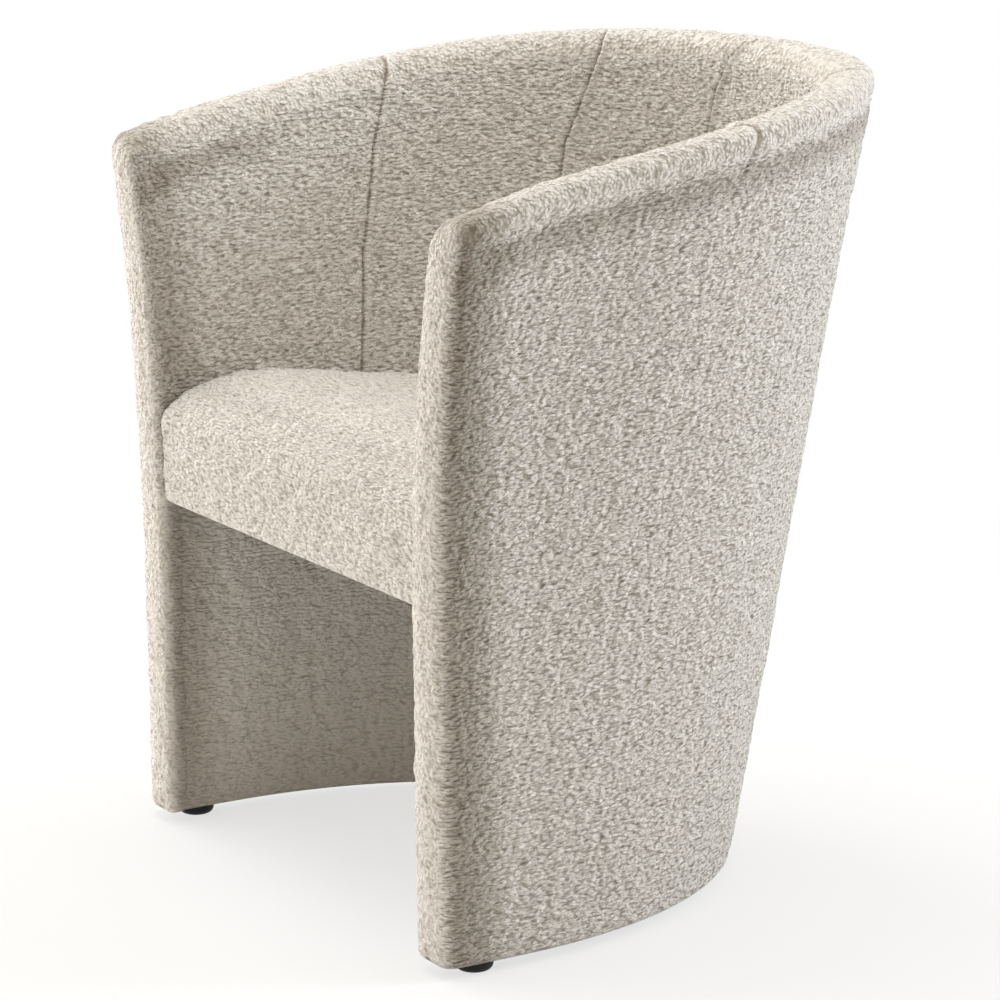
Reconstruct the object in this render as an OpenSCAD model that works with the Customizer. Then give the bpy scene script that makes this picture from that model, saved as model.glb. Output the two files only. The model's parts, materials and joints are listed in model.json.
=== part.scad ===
// Upholstered tub chair: one padded wall bends round the sitter as arms and back, and a sprung
// seat is bolted between the arms. The chair stands on four plastic glides. Millimetres, Z up,
// the front faces -Y, and the origin lies on the floor in the middle of the overall box. Left and
// right are as seen from the front, so left is -X.

/* [Overall size] */
// Width of the wall from the hem up to where its sides begin to lean out
waist_w = 574; // [520:2:640]
// Depth from the front of the arms to the back of the rim
chair_d = 574; // [540:2:640]
// Height of the back
chair_h = 750; // [710:5:820]
// Height of the arms at their front ends
arm_h = 666; // [620:2:700]

/* [Wall shape] */
// How far each side leans out at the height of the arm fronts
side_flare = 48; // [20:1:70]
// Height at which the sides begin to lean out
flare_z = 200; // [120:5:300]
// How quickly the lean of the sides grows with height
flare_power = 2.8; // [2:0.1:3.4]
// How much further back the wall reaches at the rim than at the floor
back_lean = 133; // [90:1:160]
// How quickly the lean of the back dies away with height
lean_power = 1.36; // [1.1:0.02:1.6]
// How much further forward the arms reach at the top than at the floor
front_lean = 8; // [0:1:20]
// Depth of the curved back in plan, from the end of the straight arms
curve_d = 366; // [330:2:400]
// Squareness of the plan curve, where 2 is an ellipse
curve_power = 2.1; // [2:0.05:2.5]
// How much the arms draw together towards the back at arm height
arm_splay = 12; // [0:1:24]
// How quickly the rim rises from the arms to the back
rim_power = 1.53; // [1.2:0.01:2]
// Thickness of the finished wall
wall_t = 45; // [42:1:54]
// Rounding of the rim, outside and inside
rim_r = 16; // [12:1:18]
// Rounding of the outer edge of each arm front
front_r = 18; // [12:1:20]
// Rounding of the inner edge of each arm front
front_inner_r = 5; // [3:1:8]

/* [Covers and padding] */
// Thickness of the pile fabric
cover_t = 1.5; // [1:0.1:2.5]
// Thickness of the foam sheet round the wall
pad_t = 6; // [4:0.5:8]
// Thickness of the hardboard panels
panel_t = 3; // [2:0.5:4]
// Width of fabric turned under the hem
hem_return = 12; // [8:1:14]
// Width of the raised welt along each dart
seam_w = 7; // [4:0.5:10]
// Height of the raised welt along each dart
seam_h = 1.8; // [1:0.1:3]
// How far each dart runs down the outside of the wall
seam_drop = 34; // [15:1:60]

/* [Seat] */
// Height of the seat's lower edge
seat_low = 324; // [300:2:340]
// Height of the seat where it meets the wall
seat_edge_h = 431; // [410:1:450]
// How much the middle of the seat stands above its edge
seat_crown = 14; // [6:1:24]
// How far the seat's front stands past the arm fronts
seat_proud = 1; // [0:0.5:3]
// How much further the seat's front swells between its edges
seat_bulge = 2.5; // [0:0.5:6]
// Rounding of the seat's upper front edge
seat_front_r = 42; // [25:1:50]
// Rounding of the seat's upper side edge
seat_side_r = 14; // [8:1:20]
// Rounding of the seat's upright front corners
seat_corner_r = 18; // [10:1:26]
// Foam in front of the seat's front rail
seat_pad_t = 9; // [6:1:14]
// Thickness of the seat's rails
seat_rail_t = 20; // [16:1:24]
// Thickness of the plywood ring that carries the webbing
seat_ring_t = 18; // [12:1:20]
// Width of that ring
seat_ring_w = 55; // [45:1:65]

/* [Webbing] */
// Width of a strap of elastic webbing
strap_w = 50; // [40:1:60]
// Thickness of a strap
strap_t = 1.6; // [1:0.1:2]

/* [Carcass] */
// Height of the plywood ring at the foot of the wall
base_t = 18; // [15:1:24]
// Height of the rail under the rim
rim_rail_h = 30; // [20:1:40]
// Width of the front posts
front_post_w = 40; // [30:1:45]
// Width of the side and rear posts
post_w = 36; // [24:1:45]
// Height of the bearers that the seat is bolted to
bearer_h = 52; // [44:1:64]

/* [Feet] */
// Height of a foot below the hem
foot_h = 14; // [10:1:24]
// Diameter of a foot
foot_d = 34; // [28:1:40]
// Rounding of a foot's lower edge
foot_r = 6; // [3:0.5:8]
// Distance of the front feet behind the arm fronts
foot_back = 42; // [34:1:50]

/* [Fasteners] */
// Diameter of the seat bolts
bolt_d = 8; // [6:1:8]
// Diameter of the foot screws
screw_d = 4; // [3:0.5:5]
// Length of the foot screws
screw_len = 25; // [20:1:30]

/* [Hidden] */

// Clearance between pieces that lie on each other
gap = 0.3;
// Clearance of the frame behind the panels, whose facets twist
frame_gap = 0.5;
// Clearance of a welt over the cover
seam_gap = 0.4;
// Overrun of a cut past the piece that it cuts
over = 1;
// Least rounding that an inner layer keeps
least_r = 0.5;

// Places along the wall: 0 to 1 runs back along a straight arm, and 1 to 2 round the quarter
// curve to the middle of the back. The darts lie at these places.
dart_shares = [1.153, 1.569];
// Heights of the rows of facets, from the foot of the wall to where its rim rounds over
row_shares = [0, 0.4, 0.66, 0.85, 1];
// Middle of the straight arm
mid_arm_share = 0.55;
// Steps in each rounded edge
edge_steps = 3;

// Depths of the layers below the finished surface, and heights at the foot of the wall
pad_e = cover_t + gap;
core_e = pad_e + pad_t + gap;
frame_e = core_e + panel_t + frame_gap;
hem_z = foot_h;
hem_r = pad_t;
base_z = hem_z + cover_t + gap;
post_low = base_z + base_t + gap;

// Posts
front_post_at = frame_e;
side_post_share = (1 + dart_shares[0])/2;
rear_post_share = dart_shares[1];

// Seat layers
seat_gap = gap;
seat_e = cover_t + gap;
rail_low = seat_low + cover_t + gap;
ring_top = seat_edge_h - seat_front_r - gap;
ring_low = ring_top - seat_ring_t;
rail_high = ring_low - gap;
strap_low = ring_top + gap;
strap_step = strap_t + gap;
felt_t = 2.4;
felt_low = strap_low + 2*strap_t + 2*gap;
foam_low = felt_low + felt_t + gap;
seat_return = 20;
seat_hem_r = 4;
dust_t = 0.8;
dust_edge = 9;
// Where the seat's rear rail meets the curve, and where the straps lie in the ring's opening
seat_chord_share = 1.7;
strap_x_shares = [-0.75, -0.25, 0.25, 0.75];
strap_y_shares = [0.135, 0.405, 0.675];
bearer_low = (rail_low + rail_high)/2 - bearer_h/2;

// Fasteners
bolt_z = (rail_low + rail_high)/2;
bolt_inset = 14;
bolt_play = 0.4;
bolt_head_h = 0.65*bolt_d;
bolt_head_d = 1.85*bolt_d;
washer_d = 2.4*bolt_d;
washer_t = 0.2*bolt_d;
nut_flange_d = 2.4*bolt_d;
nut_flange_t = 0.19*bolt_d;
nut_barrel_d = 1.3*bolt_d;
nut_barrel_l = 1.1*bolt_d;
screw_head_d = 2*screw_d;
screw_head_h = screw_d/2;
screw_play = 0.1;
foot_sink = 0.35*foot_h;
rear_foot_share = 1.66;
foot_arc_steps = 6;
clear_d = bolt_d + 2*bolt_play;
nut_seat = frame_e + nut_flange_t + gap;

// Start of a seat bearer behind the arm front, and the lengths of arm that the front feet and the
// bearers need
bearer_from = front_post_at + front_post_w + gap;
foot_run = foot_back + foot_d/2;
bearer_run = bearer_from + 2*bolt_inset + nut_flange_d + 2*bolt_play;

// Colours
cloth_colour = [0.87, 0.84, 0.79];
foam_colour = [0.93, 0.88, 0.66];
ply_colour = [0.82, 0.68, 0.47];
pine_colour = [0.88, 0.74, 0.52];
board_colour = [0.50, 0.36, 0.24];
black_colour = [0.09, 0.09, 0.10];
webbing_colour = [0.30, 0.29, 0.27];
steel_colour = [0.68, 0.70, 0.72];

// Plan of the wall

function unit(v) = v/norm(v);
function half_w(z) =
    waist_w/2 + side_flare*pow(max(0, z - flare_z)/(arm_h - flare_z), flare_power);
function splay(z) = arm_splay*z/arm_h;
function front_y(z) = -chair_d/2 + front_lean*max(0, 1 - z/arm_h);
function back_y(z) = chair_d/2 - back_lean*pow(max(0, 1 - z/chair_h), lean_power);
function curve_y(z) = back_y(z) - curve_d;

// Length of an arm. Where the curve starts less than a foot, or a bearer with its bolts, behind
// the front, the arm takes in the first degrees of the curve.
function least_arm(z) = foot_run + (bearer_run - foot_run)*min(1, z/seat_low);
function arm_len(z) = max(curve_y(z) - front_y(z), least_arm(z));
function arm_end_y(z) = front_y(z) + arm_len(z);
function start_turn(z) =
    asin(pow(max(0, arm_end_y(z) - curve_y(z))/curve_d, curve_power/2));
function turn_at(t, z) = let (first = start_turn(z)) first + (90 - first)*(t - 1);

// Outer face at place t and height z, for the right half
function outer_xy(t, z) = t < 1
    ? [(half_w(z) - splay(z)*(1 - pow(1 - t, 2)))*pow(cos(t*start_turn(z)), 2/curve_power),
       front_y(z) + t*arm_len(z)]
    : let (turn = turn_at(t, z))
      [(half_w(z) - splay(z))*pow(cos(turn), 2/curve_power),
       curve_y(z) + curve_d*pow(sin(turn), 2/curve_power)];

// Direction out of the wall at place t: sideways on the arms, and square to the curve behind them
function outward(t, z) = t < 1
    ? [1, 0]
    : let (turn = turn_at(t, z), bend = 2 - 2/curve_power)
      unit([curve_d*pow(cos(turn), bend), (half_w(z) - splay(z))*pow(sin(turn), bend)]);

// Even steps from a up to b, without b
function steps(a, b, n) = [for (i = [0:n - 1]) a + (b - a)*i/n];
curve_shares = concat(steps(1, dart_shares[0], 2), steps(dart_shares[0], dart_shares[1], 4),
    steps(dart_shares[1], 2, 4));
function mix(a, b, f) = a + (b - a)*f;

// The wall is made of facets that all its layers share, so that they lie on each other. The
// facets' corners are at these places, and in rows at these heights.
corner_shares = concat([0, mid_arm_share], curve_shares, [2]);
function corner_rim(t) =
    let (share = min(1, (outer_xy(t, arm_h)[1] + chair_d/2)/chair_d))
    arm_h + (chair_h - arm_h)*(1 - pow(1 - share, rim_power));
function corner_heights(t) = concat(
    [for (s = row_shares) mix(base_z, corner_rim(t) - rim_r, s)], [corner_rim(t)]);

// Where a value lies in a rising list: the number of the step that holds it, and how far along
function within(list, v) =
    let (i = min(len(list) - 2, max(0, len([for (s = list) if (s <= v) s]) - 1)))
    [i, (v - list[i])/(list[i + 1] - list[i])];

// Point of the wall above one corner place, a depth below the outer face
function column_pt(t, depth, z) =
    let (zs = corner_heights(t), at = within(zs, z), a = zs[at[0]], b = zs[at[0] + 1])
    mix(outer_xy(t, a) - depth*outward(t, a), outer_xy(t, b) - depth*outward(t, b), at[1]);

// A station is [side, place, distance behind the arm front]
function place(st, z) = st[1] + st[2]/arm_len(z);
function between(st, z) =
    let (at = within(corner_shares, place(st, z)))
    [corner_shares[at[0]], corner_shares[at[0] + 1], at[1]];

// Point of the wall at a station, a depth below the outer face and a height
function wall_pt(st, depth, z) =
    let (g = between(st, z), p = mix(column_pt(g[0], depth, z), column_pt(g[1], depth, z), g[2]))
    [st[0]*p[0], p[1], z];

// Heights of the rim and of a row at a station
function rim_z(st) = let (g = between(st, arm_h)) mix(corner_rim(g[0]), corner_rim(g[1]), g[2]);
function row_z(st, k) = mix(base_z, rim_z(st) - rim_r, row_shares[k]);
inner_rows = [1, 2, 3];

function mirrored(half, middle) = let (n = len(half)) concat(
    [for (s = half) [1, s[0], s[1]]], [[1, middle, 0]],
    [for (i = [n - 1:-1:0]) [-1, half[i][0], half[i][1]]]);

// Stations of a layer that wraps the arm fronts, e below the finished surface
function wrap_half(e) = let (r = max(front_r - e, least_r)) concat(
    [for (i = [0:edge_steps]) [0, e + r*(1 - cos(90*i/edge_steps))]],
    [[mid_arm_share, 0]], [for (t = curve_shares) [t, 0]]);
function wrap_stations(e) = mirrored(wrap_half(e), 2);
wrap_count = len(wrap_stations(0));

// Stations of a layer that starts a distance behind the arm fronts
function plain_stations(start) = mirrored(
    concat([[0, start], [mid_arm_share, 0]], [for (t = curve_shares) [t, 0]]), 2);

// Places from a to b, with the facets' corners between them
function places(a, b) = concat([a], [for (s = corner_shares) if (s > a && s < b) s], [b]);

// How far a rounded edge draws in, a distance behind its start
function round_in(r, behind) = behind >= r ? 0 : r - sqrt(max(0, r*r - pow(r - behind, 2)));

// Section of the wall, e below the finished surface: up the outside, over the rim and down the
// inside. A turned section starts and ends with the width of fabric turned under the hem.
function wall_section(st, e, turned) =
    let (behind = st[1] > 0 ? front_r : st[2] - e,
        edge_r = max(front_r - e, least_r), inner_r = max(front_inner_r - e, least_r),
        outside = e + round_in(edge_r, behind),
        inside = wall_t - e - round_in(inner_r, behind),
        top = rim_z(st) - e - round_in(edge_r, behind),
        r = min(max(rim_r - e, least_r), (inside - outside)/2 - least_r),
        hem = turned > 0 ? hem_z + e : base_z,
        reach = min(turned - e, (inside - outside)/2 - cover_t), tuck = min(hem_r, reach/2),
        rows = concat([hem + hem_r], [for (k = inner_rows) row_z(st, k)], [top - r]),
        arc = [for (i = [1:edge_steps]) 90*i/edge_steps],
        up = concat([for (z = rows) [outside, z]],
            [for (a = arc) [outside + r*(1 - cos(a)), top - r + r*sin(a)]]),
        down = concat(
            [for (i = [edge_steps - 1:-1:0])
                [inside - r*(1 - cos(arc[i])), top - r + r*sin(arc[i])]],
            [for (i = [len(rows) - 1:-1:0]) [inside, rows[i]]]))
    [for (q = turned > 0
        ? concat([[outside + reach, hem], [outside + tuck, hem]], up, down,
            [[inside - tuck, hem], [inside - reach, hem]])
        : concat(up, down)) wall_pt(st, q[0], q[1])];

// Faces of a solid, as lists of point numbers: a four-cornered patch, which is cut the other way
// on the left half, faces turned over or moved up the list, and the end of a loft, whose point j
// faces point k-1-j. The first points of a turned hem lie on one line, so a fan closes them.
function patch(a, b, c, d, left = false) =
    left ? [[a, b, d], [b, c, d]] : [[a, b, c], [a, c, d]];
function flat(lists) = [for (l = lists) each l];
function turned_over(faces) = [for (f = faces) [f[0], f[2], f[1]]];
function shifted(faces, by) = [for (f = faces) [for (i = f) i + by]];
function cap(k, turned = 0) = let (first = turned > 0 ? 2 : 0) concat(
    flat([for (j = [first:k/2 - 2]) patch(j, k - 1 - j, k - 2 - j, j + 1)]),
    turned > 0 ? [[2, 1, 0], [2, 0, k - 1], [2, k - 1, k - 2], [2, k - 2, k - 3]] : []);

// Skin between two surfaces with the same grid, closed along the hem. It is closed over the arm
// fronts too, and cut across the wall where it starts or stops short of them.
module wall_skin(e0, e1, turned, from = 0, to = wrap_count - 1) {
    outer_st = wrap_stations(e0);
    inner_st = wrap_stations(e1);
    outer = [for (i = [from:to]) wall_section(outer_st[i], e0, turned)];
    inner = [for (i = [from:to]) wall_section(inner_st[i], e1, turned)];
    m = len(outer);
    k = len(outer[0]);
    function o(i, j) = i*k + j;
    function n(i, j) = m*k + i*k + j;
    sheets = flat([for (i = [0:m - 2], j = [0:k - 2]) let (left = 2*(from + i) >= wrap_count - 1) concat(
        patch(o(i, j), o(i, j + 1), o(i + 1, j + 1), o(i + 1, j), left),
        patch(n(i, j), n(i + 1, j), n(i + 1, j + 1), n(i, j + 1), left))]);
    hems = flat([for (i = [0:m - 2]) concat(
        patch(o(i, 0), o(i + 1, 0), n(i + 1, 0), n(i, 0)),
        patch(o(i, k - 1), n(i, k - 1), n(i + 1, k - 1), o(i + 1, k - 1)))]);
    end = cap(k, turned);
    first = from > 0
        ? flat([for (j = [0:k - 2]) patch(o(0, j + 1), o(0, j), n(0, j), n(0, j + 1))])
        : concat(end, shifted(turned_over(end), m*k),
            patch(o(0, 0), n(0, 0), n(0, k - 1), o(0, k - 1)));
    last = to < wrap_count - 1
        ? flat([for (j = [0:k - 2])
            patch(o(m - 1, j + 1), n(m - 1, j + 1), n(m - 1, j), o(m - 1, j))])
        : concat(shifted(turned_over(end), (m - 1)*k), shifted(end, (2*m - 1)*k),
            patch(o(m - 1, 0), o(m - 1, k - 1), n(m - 1, k - 1), n(m - 1, 0)));
    polyhedron(concat(flat(outer), flat(inner)), concat(sheets, hems, first, last));
}

// Solid lofted through closed sections. A loft that runs forwards takes them in the other order.
module ladder_loft(given, backwards) {
    sections = backwards ? [for (i = [len(given) - 1:-1:0]) given[i]] : given;
    m = len(sections);
    k = len(sections[0]);
    function o(i, j) = i*k + j%k;
    sides = flat([for (i = [0:m - 2], j = [0:k - 1])
        patch(o(i, j), o(i, j + 1), o(i + 1, j + 1), o(i + 1, j),
            min(sections[i][0][0], sections[i + 1][0][0]) < 0)]);
    polyhedron(flat(sections), concat(sides, cap(k), shifted(turned_over(cap(k)), (m - 1)*k)));
}

// Block of the wall between two depths, from low to high at each station, over the rows between
module wall_block(stations, d0, d1, low, high, rows = []) {
    ladder_loft([for (st = stations)
        let (zs = concat([low(st)], [for (k = rows) row_z(st, k)], [high(st)])) concat(
            [for (z = zs) wall_pt(st, d0, z)],
            [for (i = [len(zs) - 1:-1:0]) wall_pt(st, d1, zs[i])])],
        stations[0][0] < 0);
}

frame_d0 = frame_e;
frame_d1 = wall_t - frame_e;
rail_rim_drop = core_e + panel_t;
function panel_top(st) = rim_z(st) - rim_r;
function rail_top(st) = rim_z(st) - rail_rim_drop;
function post_top(st) = rail_top(st) - rim_rail_h - gap;
function curve_len(z) = 90*PI/180*(half_w(z) + curve_d)/2;
function post_share(w) = w/curve_len(arm_h);

// Foot centres, one for each side and end
function foot_centre(side, t, back) =
    let (p = wall_pt([side, t, back], wall_t/2, hem_z)) [p[0], p[1]];
foot_centres = [foot_centre(-1, 0, foot_back), foot_centre(1, 0, foot_back),
    foot_centre(-1, rear_foot_share, 0), foot_centre(1, rear_foot_share, 0)];

module base_ring() {
    color(ply_colour) difference() {
        wall_block(plain_stations(front_post_at), frame_d0, frame_d1,
            function (st) base_z, function (st) base_z + base_t);
        for (c = foot_centres) translate([c[0], c[1], base_z - over])
            cylinder(d = screw_d + 2*screw_play, h = base_t + 2*over, $fn = 32);
    }
}

module rim_rail() {
    color(ply_colour) wall_block(plain_stations(front_r + gap), frame_d0, frame_d1,
        function (st) rail_top(st) - rim_rail_h, function (st) rail_top(st),
        [len(row_shares) - 1]);
}

// The rail runs round the back at seat height, from one rear post to the other
module back_rail() {
    start = rear_post_share + post_share(post_w + gap);
    half = [for (t = places(start, 2)) if (t < 2) [t, 0]];
    color(pine_colour) wall_block(mirrored(half, 2), frame_d0, frame_d1,
        function (st) bearer_low, function (st) bearer_low + bearer_h);
}

module front_post(side) {
    color(pine_colour) wall_block(
        [for (b = [front_post_at, front_post_at + front_post_w]) [side, 0, b]],
        frame_d0, frame_d1, function (st) post_low, function (st) post_top(st), inner_rows);
}

module curve_post(side, start) {
    color(pine_colour) wall_block(
        [for (t = places(start, start + post_share(post_w))) [side, t, 0]],
        frame_d0, frame_d1, function (st) post_low, function (st) post_top(st), inner_rows);
}

function bearer_stations(side) = concat([[side, 0, bearer_from]],
    [for (t = places(mid_arm_share, side_post_share)) [side, t, t < side_post_share ? 0 : -gap]]);
bolt_ys = let (y0 = front_y(bolt_z) + bearer_from + bolt_inset,
    y1 = arm_end_y(bolt_z) - bolt_inset) [y0, y1];

// X of the wall at a depth on a bolt's line
function wall_x(y, depth) = wall_pt([1, 0, y - front_y(bolt_z)], depth, bolt_z)[0];

// Places its children on the bolts' lines, with Z pointing out of the chair
module on_bolts(sides) {
    for (side = sides, $bolt_y = bolt_ys)
        translate([0, $bolt_y, bolt_z]) rotate([0, 90*side, 0]) children();
}

// Bores on the bolts' lines, from one depth of the wall to another
module bolt_bores(sides, d, inside, outside) {
    on_bolts(sides) translate([0, 0, wall_x($bolt_y, inside)])
        cylinder(d = d, h = wall_x($bolt_y, outside) - wall_x($bolt_y, inside), $fn = 32);
}

module seat_bearer(side) {
    color(pine_colour) difference() {
        wall_block(bearer_stations(side), frame_d0, frame_d1, function (st) bearer_low,
            function (st) bearer_low + bearer_h);
        bolt_bores([side], nut_barrel_d + 2*screw_play, frame_d1 + over, frame_d0 - over);
        bolt_bores([side], nut_flange_d + 2*bolt_play, nut_seat, frame_d0 - over);
    }
}

module outer_panel() {
    color(board_colour) wall_block(plain_stations(front_r + gap), core_e, core_e + panel_t,
        function (st) base_z, function (st) panel_top(st), inner_rows);
}

module inner_panel() {
    color(board_colour) difference() {
        wall_block(plain_stations(front_r + gap), wall_t - core_e - panel_t,
            wall_t - core_e, function (st) base_z, function (st) panel_top(st), inner_rows);
        bolt_bores([-1, 1], clear_d, wall_t - core_e + over, wall_t - core_e - panel_t - over);
    }
}

// The foam is glued on in three sheets, which meet at the darts that end the arms
arm_pad_end = edge_steps + 2 + search(dart_shares[0], curve_shares)[0];

module arm_padding(side) {
    color(foam_colour) difference() {
        wall_skin(pad_e, core_e - gap, 0, side > 0 ? 0 : wrap_count - 1 - arm_pad_end,
            side > 0 ? arm_pad_end : wrap_count - 1);
        bolt_bores([side], clear_d, wall_t - pad_e + over, wall_t - core_e + gap - over);
    }
}

module back_padding() {
    color(foam_colour) wall_skin(pad_e, core_e - gap, 0, arm_pad_end,
        wrap_count - 1 - arm_pad_end);
}

module wall_cover() {
    color(cloth_colour) difference() {
        wall_skin(0, cover_t, hem_return);
        bolt_bores([-1, 1], clear_d, wall_t + over, wall_t - cover_t - over);
    }
}

// Line of a welt at a station, lifted off the cover: down the outside, over the rim and down the
// inside past some rows to the seat
function seam_line(st, lift, rows) =
    let (top = rim_z(st) - rim_r, r = rim_r + lift,
        arc = [for (i = [0:edge_steps]) 90*i/edge_steps])
    concat([wall_pt(st, -lift, top - seam_drop)],
        [for (a = arc) wall_pt(st, rim_r - r*cos(a), top + r*sin(a))],
        [for (i = [edge_steps:-1:0]) wall_pt(st, wall_t - rim_r + r*cos(arc[i]),
            top + r*sin(arc[i]))],
        [for (k = rows) wall_pt(st, wall_t + lift, row_z(st, k))],
        [wall_pt(st, wall_t + lift, seat_edge_h + seat_gap)]);

// A welt stands on the two facets of the cover that meet at its dart. Its section is a low ridge,
// found on the lines of the dart and of the stations beside it.
function beside(line, other, k, w) = line[k] + w*unit(other[k] - line[k]);
module dart_seam(side, i) {
    at = search(dart_shares[i], curve_shares)[0];
    rows = [for (k = inner_rows) let (row = len(row_shares) - 1 - k)
        if (row_z([side, dart_shares[i], 0], row) > seat_edge_h + seat_gap + over) row];
    low = [for (step = [-1, 0, 1]) seam_line([side, curve_shares[at + step], 0], seam_gap, rows)];
    high = [for (step = [-1, 0, 1]) seam_line([side, curve_shares[at + step], 0], seam_h, rows)];
    ladder_loft([for (k = [0:len(low[1]) - 1]) [
        beside(low[1], low[0], k, seam_w/2), beside(high[1], high[0], k, seam_w/4),
        beside(high[1], high[2], k, seam_w/4), beside(low[1], low[2], k, seam_w/2)]], side > 0);
}

module dart_seams() {
    color(cloth_colour) for (side = [-1, 1], i = [0, 1]) dart_seam(side, i);
}

// The strip closes the slot between the two edges of the turned cover
module hem_strip() {
    color(black_colour) difference() {
        wall_block(plain_stations(front_r + gap), hem_return + gap, wall_t - hem_return - gap,
            function (st) hem_z + gap, function (st) hem_z + cover_t);
        for (c = foot_centres) translate([c[0], c[1], hem_z])
            cylinder(d = screw_d + 2*screw_play, h = cover_t + over, $fn = 32);
    }
}

// Seat

// Half outline of the seat from the middle of its front to the middle of its back
seat_side_shares = concat([mid_arm_share], curve_shares, [2]);
front_points = 2;
corner_points = edge_steps + 1;
side_from = front_points + corner_points;
half_points = side_from + len(seat_side_shares);
ring_points = 2*half_points - 2;
function seat_front(z) = front_y(z) - seat_proud;
function seat_vertex(v, e, z) =
    let (y = seat_front(z) + e, r = max(seat_corner_r - e, least_r), d = wall_t + seat_gap + e,
        x = wall_pt([1, 0, y + r - front_y(z)], d, z)[0],
        turn = 90*(v - front_points)/edge_steps)
    v < front_points ? [(x - r)*v/front_points, y, z]
    : v < side_from ? [x - r + r*sin(turn), y + r - r*cos(turn), z]
    : wall_pt([1, seat_side_shares[v - side_from], 0], d, z);

// How much a point of the outline belongs to the front: 1 there, and 0 along the walls
function front_share(v) = v < front_points ? 1
    : v < side_from ? cos(90*(v - front_points)/edge_steps) : 0;
function edge_r(v) = seat_side_r + (seat_front_r - seat_side_r)*front_share(v);
function around(half) = concat(half,
    [for (i = [len(half) - 2:-1:1]) [-half[i][0], half[i][1], half[i][2]]]);

// Rounded upper edge of the seat, e below its surface: the height at which it starts, its side up
// to its first facet, and its rings from a height upwards
function edge_base(v, e) = seat_edge_h - e - max(edge_r(v) - e, least_r);
function edge_side(v, e, z) =
    seat_vertex(v, e + max(0, z - edge_base(v, e))*tan(45/edge_steps), z);
function seat_edge(e, from) = concat(
    [around([for (v = [0:half_points - 1]) edge_side(v, e, max(from, edge_base(v, e)))])],
    [for (i = [1:edge_steps]) around([for (v = [0:half_points - 1])
        let (r = max(edge_r(v) - e, least_r), a = 90*i/edge_steps)
        seat_vertex(v, e + r*(1 - cos(a)), edge_base(v, e) + r*sin(a))])]);

// Crown of the seat, e below its surface: rings that close in on its middle
crown_shares = [0.2, 0.45, 0.72];
function seat_middle(e) = [0, (seat_front(seat_edge_h) + back_y(seat_edge_h) - wall_t)/2,
    seat_edge_h - e + seat_crown];
function crowned(p, e) =
    let (m = seat_middle(e), x = half_w(seat_edge_h) - wall_t - seat_side_r,
        y = m[1] - seat_front(seat_edge_h) - seat_side_r,
        across = max(0, 1 - pow(p[0]/x, 2)), along = max(0, 1 - pow((p[1] - m[1])/y, 2)))
    [p[0], p[1], seat_edge_h - e + seat_crown*across*along];
function seat_crowned(e, rim) =
    [for (s = crown_shares) [for (p = rim) crowned(p + (seat_middle(e) - p)*s, e)]];

// Sides of the seat, e below its surface: turned in at the bottom and swollen at the front
function seat_sides(e) = let (tuck = seat_hem_r - e) [
    around([for (v = [0:half_points - 1]) seat_vertex(v, e + seat_return, seat_low + e)]),
    around([for (v = [0:half_points - 1]) seat_vertex(v, e + tuck, seat_low + e)]),
    around([for (v = [0:half_points - 1]) seat_vertex(v, e, seat_low + e + tuck)]),
    around([for (v = [0:half_points - 1]) seat_vertex(v, e - seat_bulge*front_share(v),
        bulge_z)])];
bulge_z = (seat_low + seat_hem_r + seat_edge_h - seat_front_r)/2;

// Faces between rings a and b of k points, and from ring a to a tip
function band(k, a, b) = flat([for (j = [0:k - 1]) patch(a*k + j, a*k + (j + 1)%k,
    b*k + (j + 1)%k, b*k + j, j >= k/2)]);
function fan(k, a, tip) = [for (j = [0:k - 1]) [a*k + j, a*k + (j + 1)%k, tip]];

module seat_skin(e0, e1) {
    k = ring_points;
    outer_edge = seat_edge(e0, 0);
    inner_edge = seat_edge(e1, 0);
    outer = concat(seat_sides(e0), outer_edge, seat_crowned(e0, outer_edge[edge_steps]));
    inner = concat(seat_sides(e1), inner_edge, seat_crowned(e1, inner_edge[edge_steps]));
    m = len(outer);
    sheet = concat(flat([for (i = [0:m - 2]) band(k, i, i + 1)]), fan(k, m - 1, m*k));
    points = concat(flat(outer), [seat_middle(e0)], flat(inner), [seat_middle(e1)]);
    hem = flat([for (j = [0:k - 1])
        patch(j, m*k + 1 + j, m*k + 1 + (j + 1)%k, (j + 1)%k)]);
    polyhedron(points, turned_over(concat(sheet, shifted(turned_over(sheet), m*k + 1), hem)));
}

// Foam slab with the same crown, flat underneath
module seat_foam() {
    k = ring_points;
    edge = seat_edge(seat_e, foam_low + over);
    low = around([for (v = [0:half_points - 1]) edge_side(v, seat_e, foam_low)]);
    rings = concat([low], edge, seat_crowned(seat_e, edge[edge_steps]));
    m = len(rings);
    middle = seat_middle(seat_e);
    color(foam_colour) polyhedron(
        concat(flat(rings), [middle, [middle[0], middle[1], foam_low]]),
        concat(turned_over(concat(flat([for (i = [0:m - 2]) band(k, i, i + 1)]),
            fan(k, m - 1, m*k))), fan(k, 0, m*k + 1)));
}

module seat_cover() {
    color(cloth_colour) difference() {
        seat_skin(0, cover_t);
        bolt_bores([-1, 1], clear_d, wall_t + seat_gap + cover_t + over,
            wall_t + seat_gap - over);
    }
}

// The front rail stands behind its foam, and the side rails along the arms
rail_x = wall_pt([1, 1, 0], wall_t + seat_gap + seat_e, rail_low)[0];
rail_front = seat_front(rail_low) + seat_e + seat_pad_t + gap;
rail_back = rail_front + seat_rail_t + gap;

// Rail along Y with its outer face at X 0 and its lower outer edge eased, as the cover turns there
module rail(length) {
    h = rail_high - rail_low;
    translate([0, length, rail_low]) rotate([90, 0, 0]) linear_extrude(length)
        polygon([[-seat_rail_t, 0], [-seat_hem_r, 0], [0, seat_hem_r], [0, h], [-seat_rail_t, h]]);
}

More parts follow.
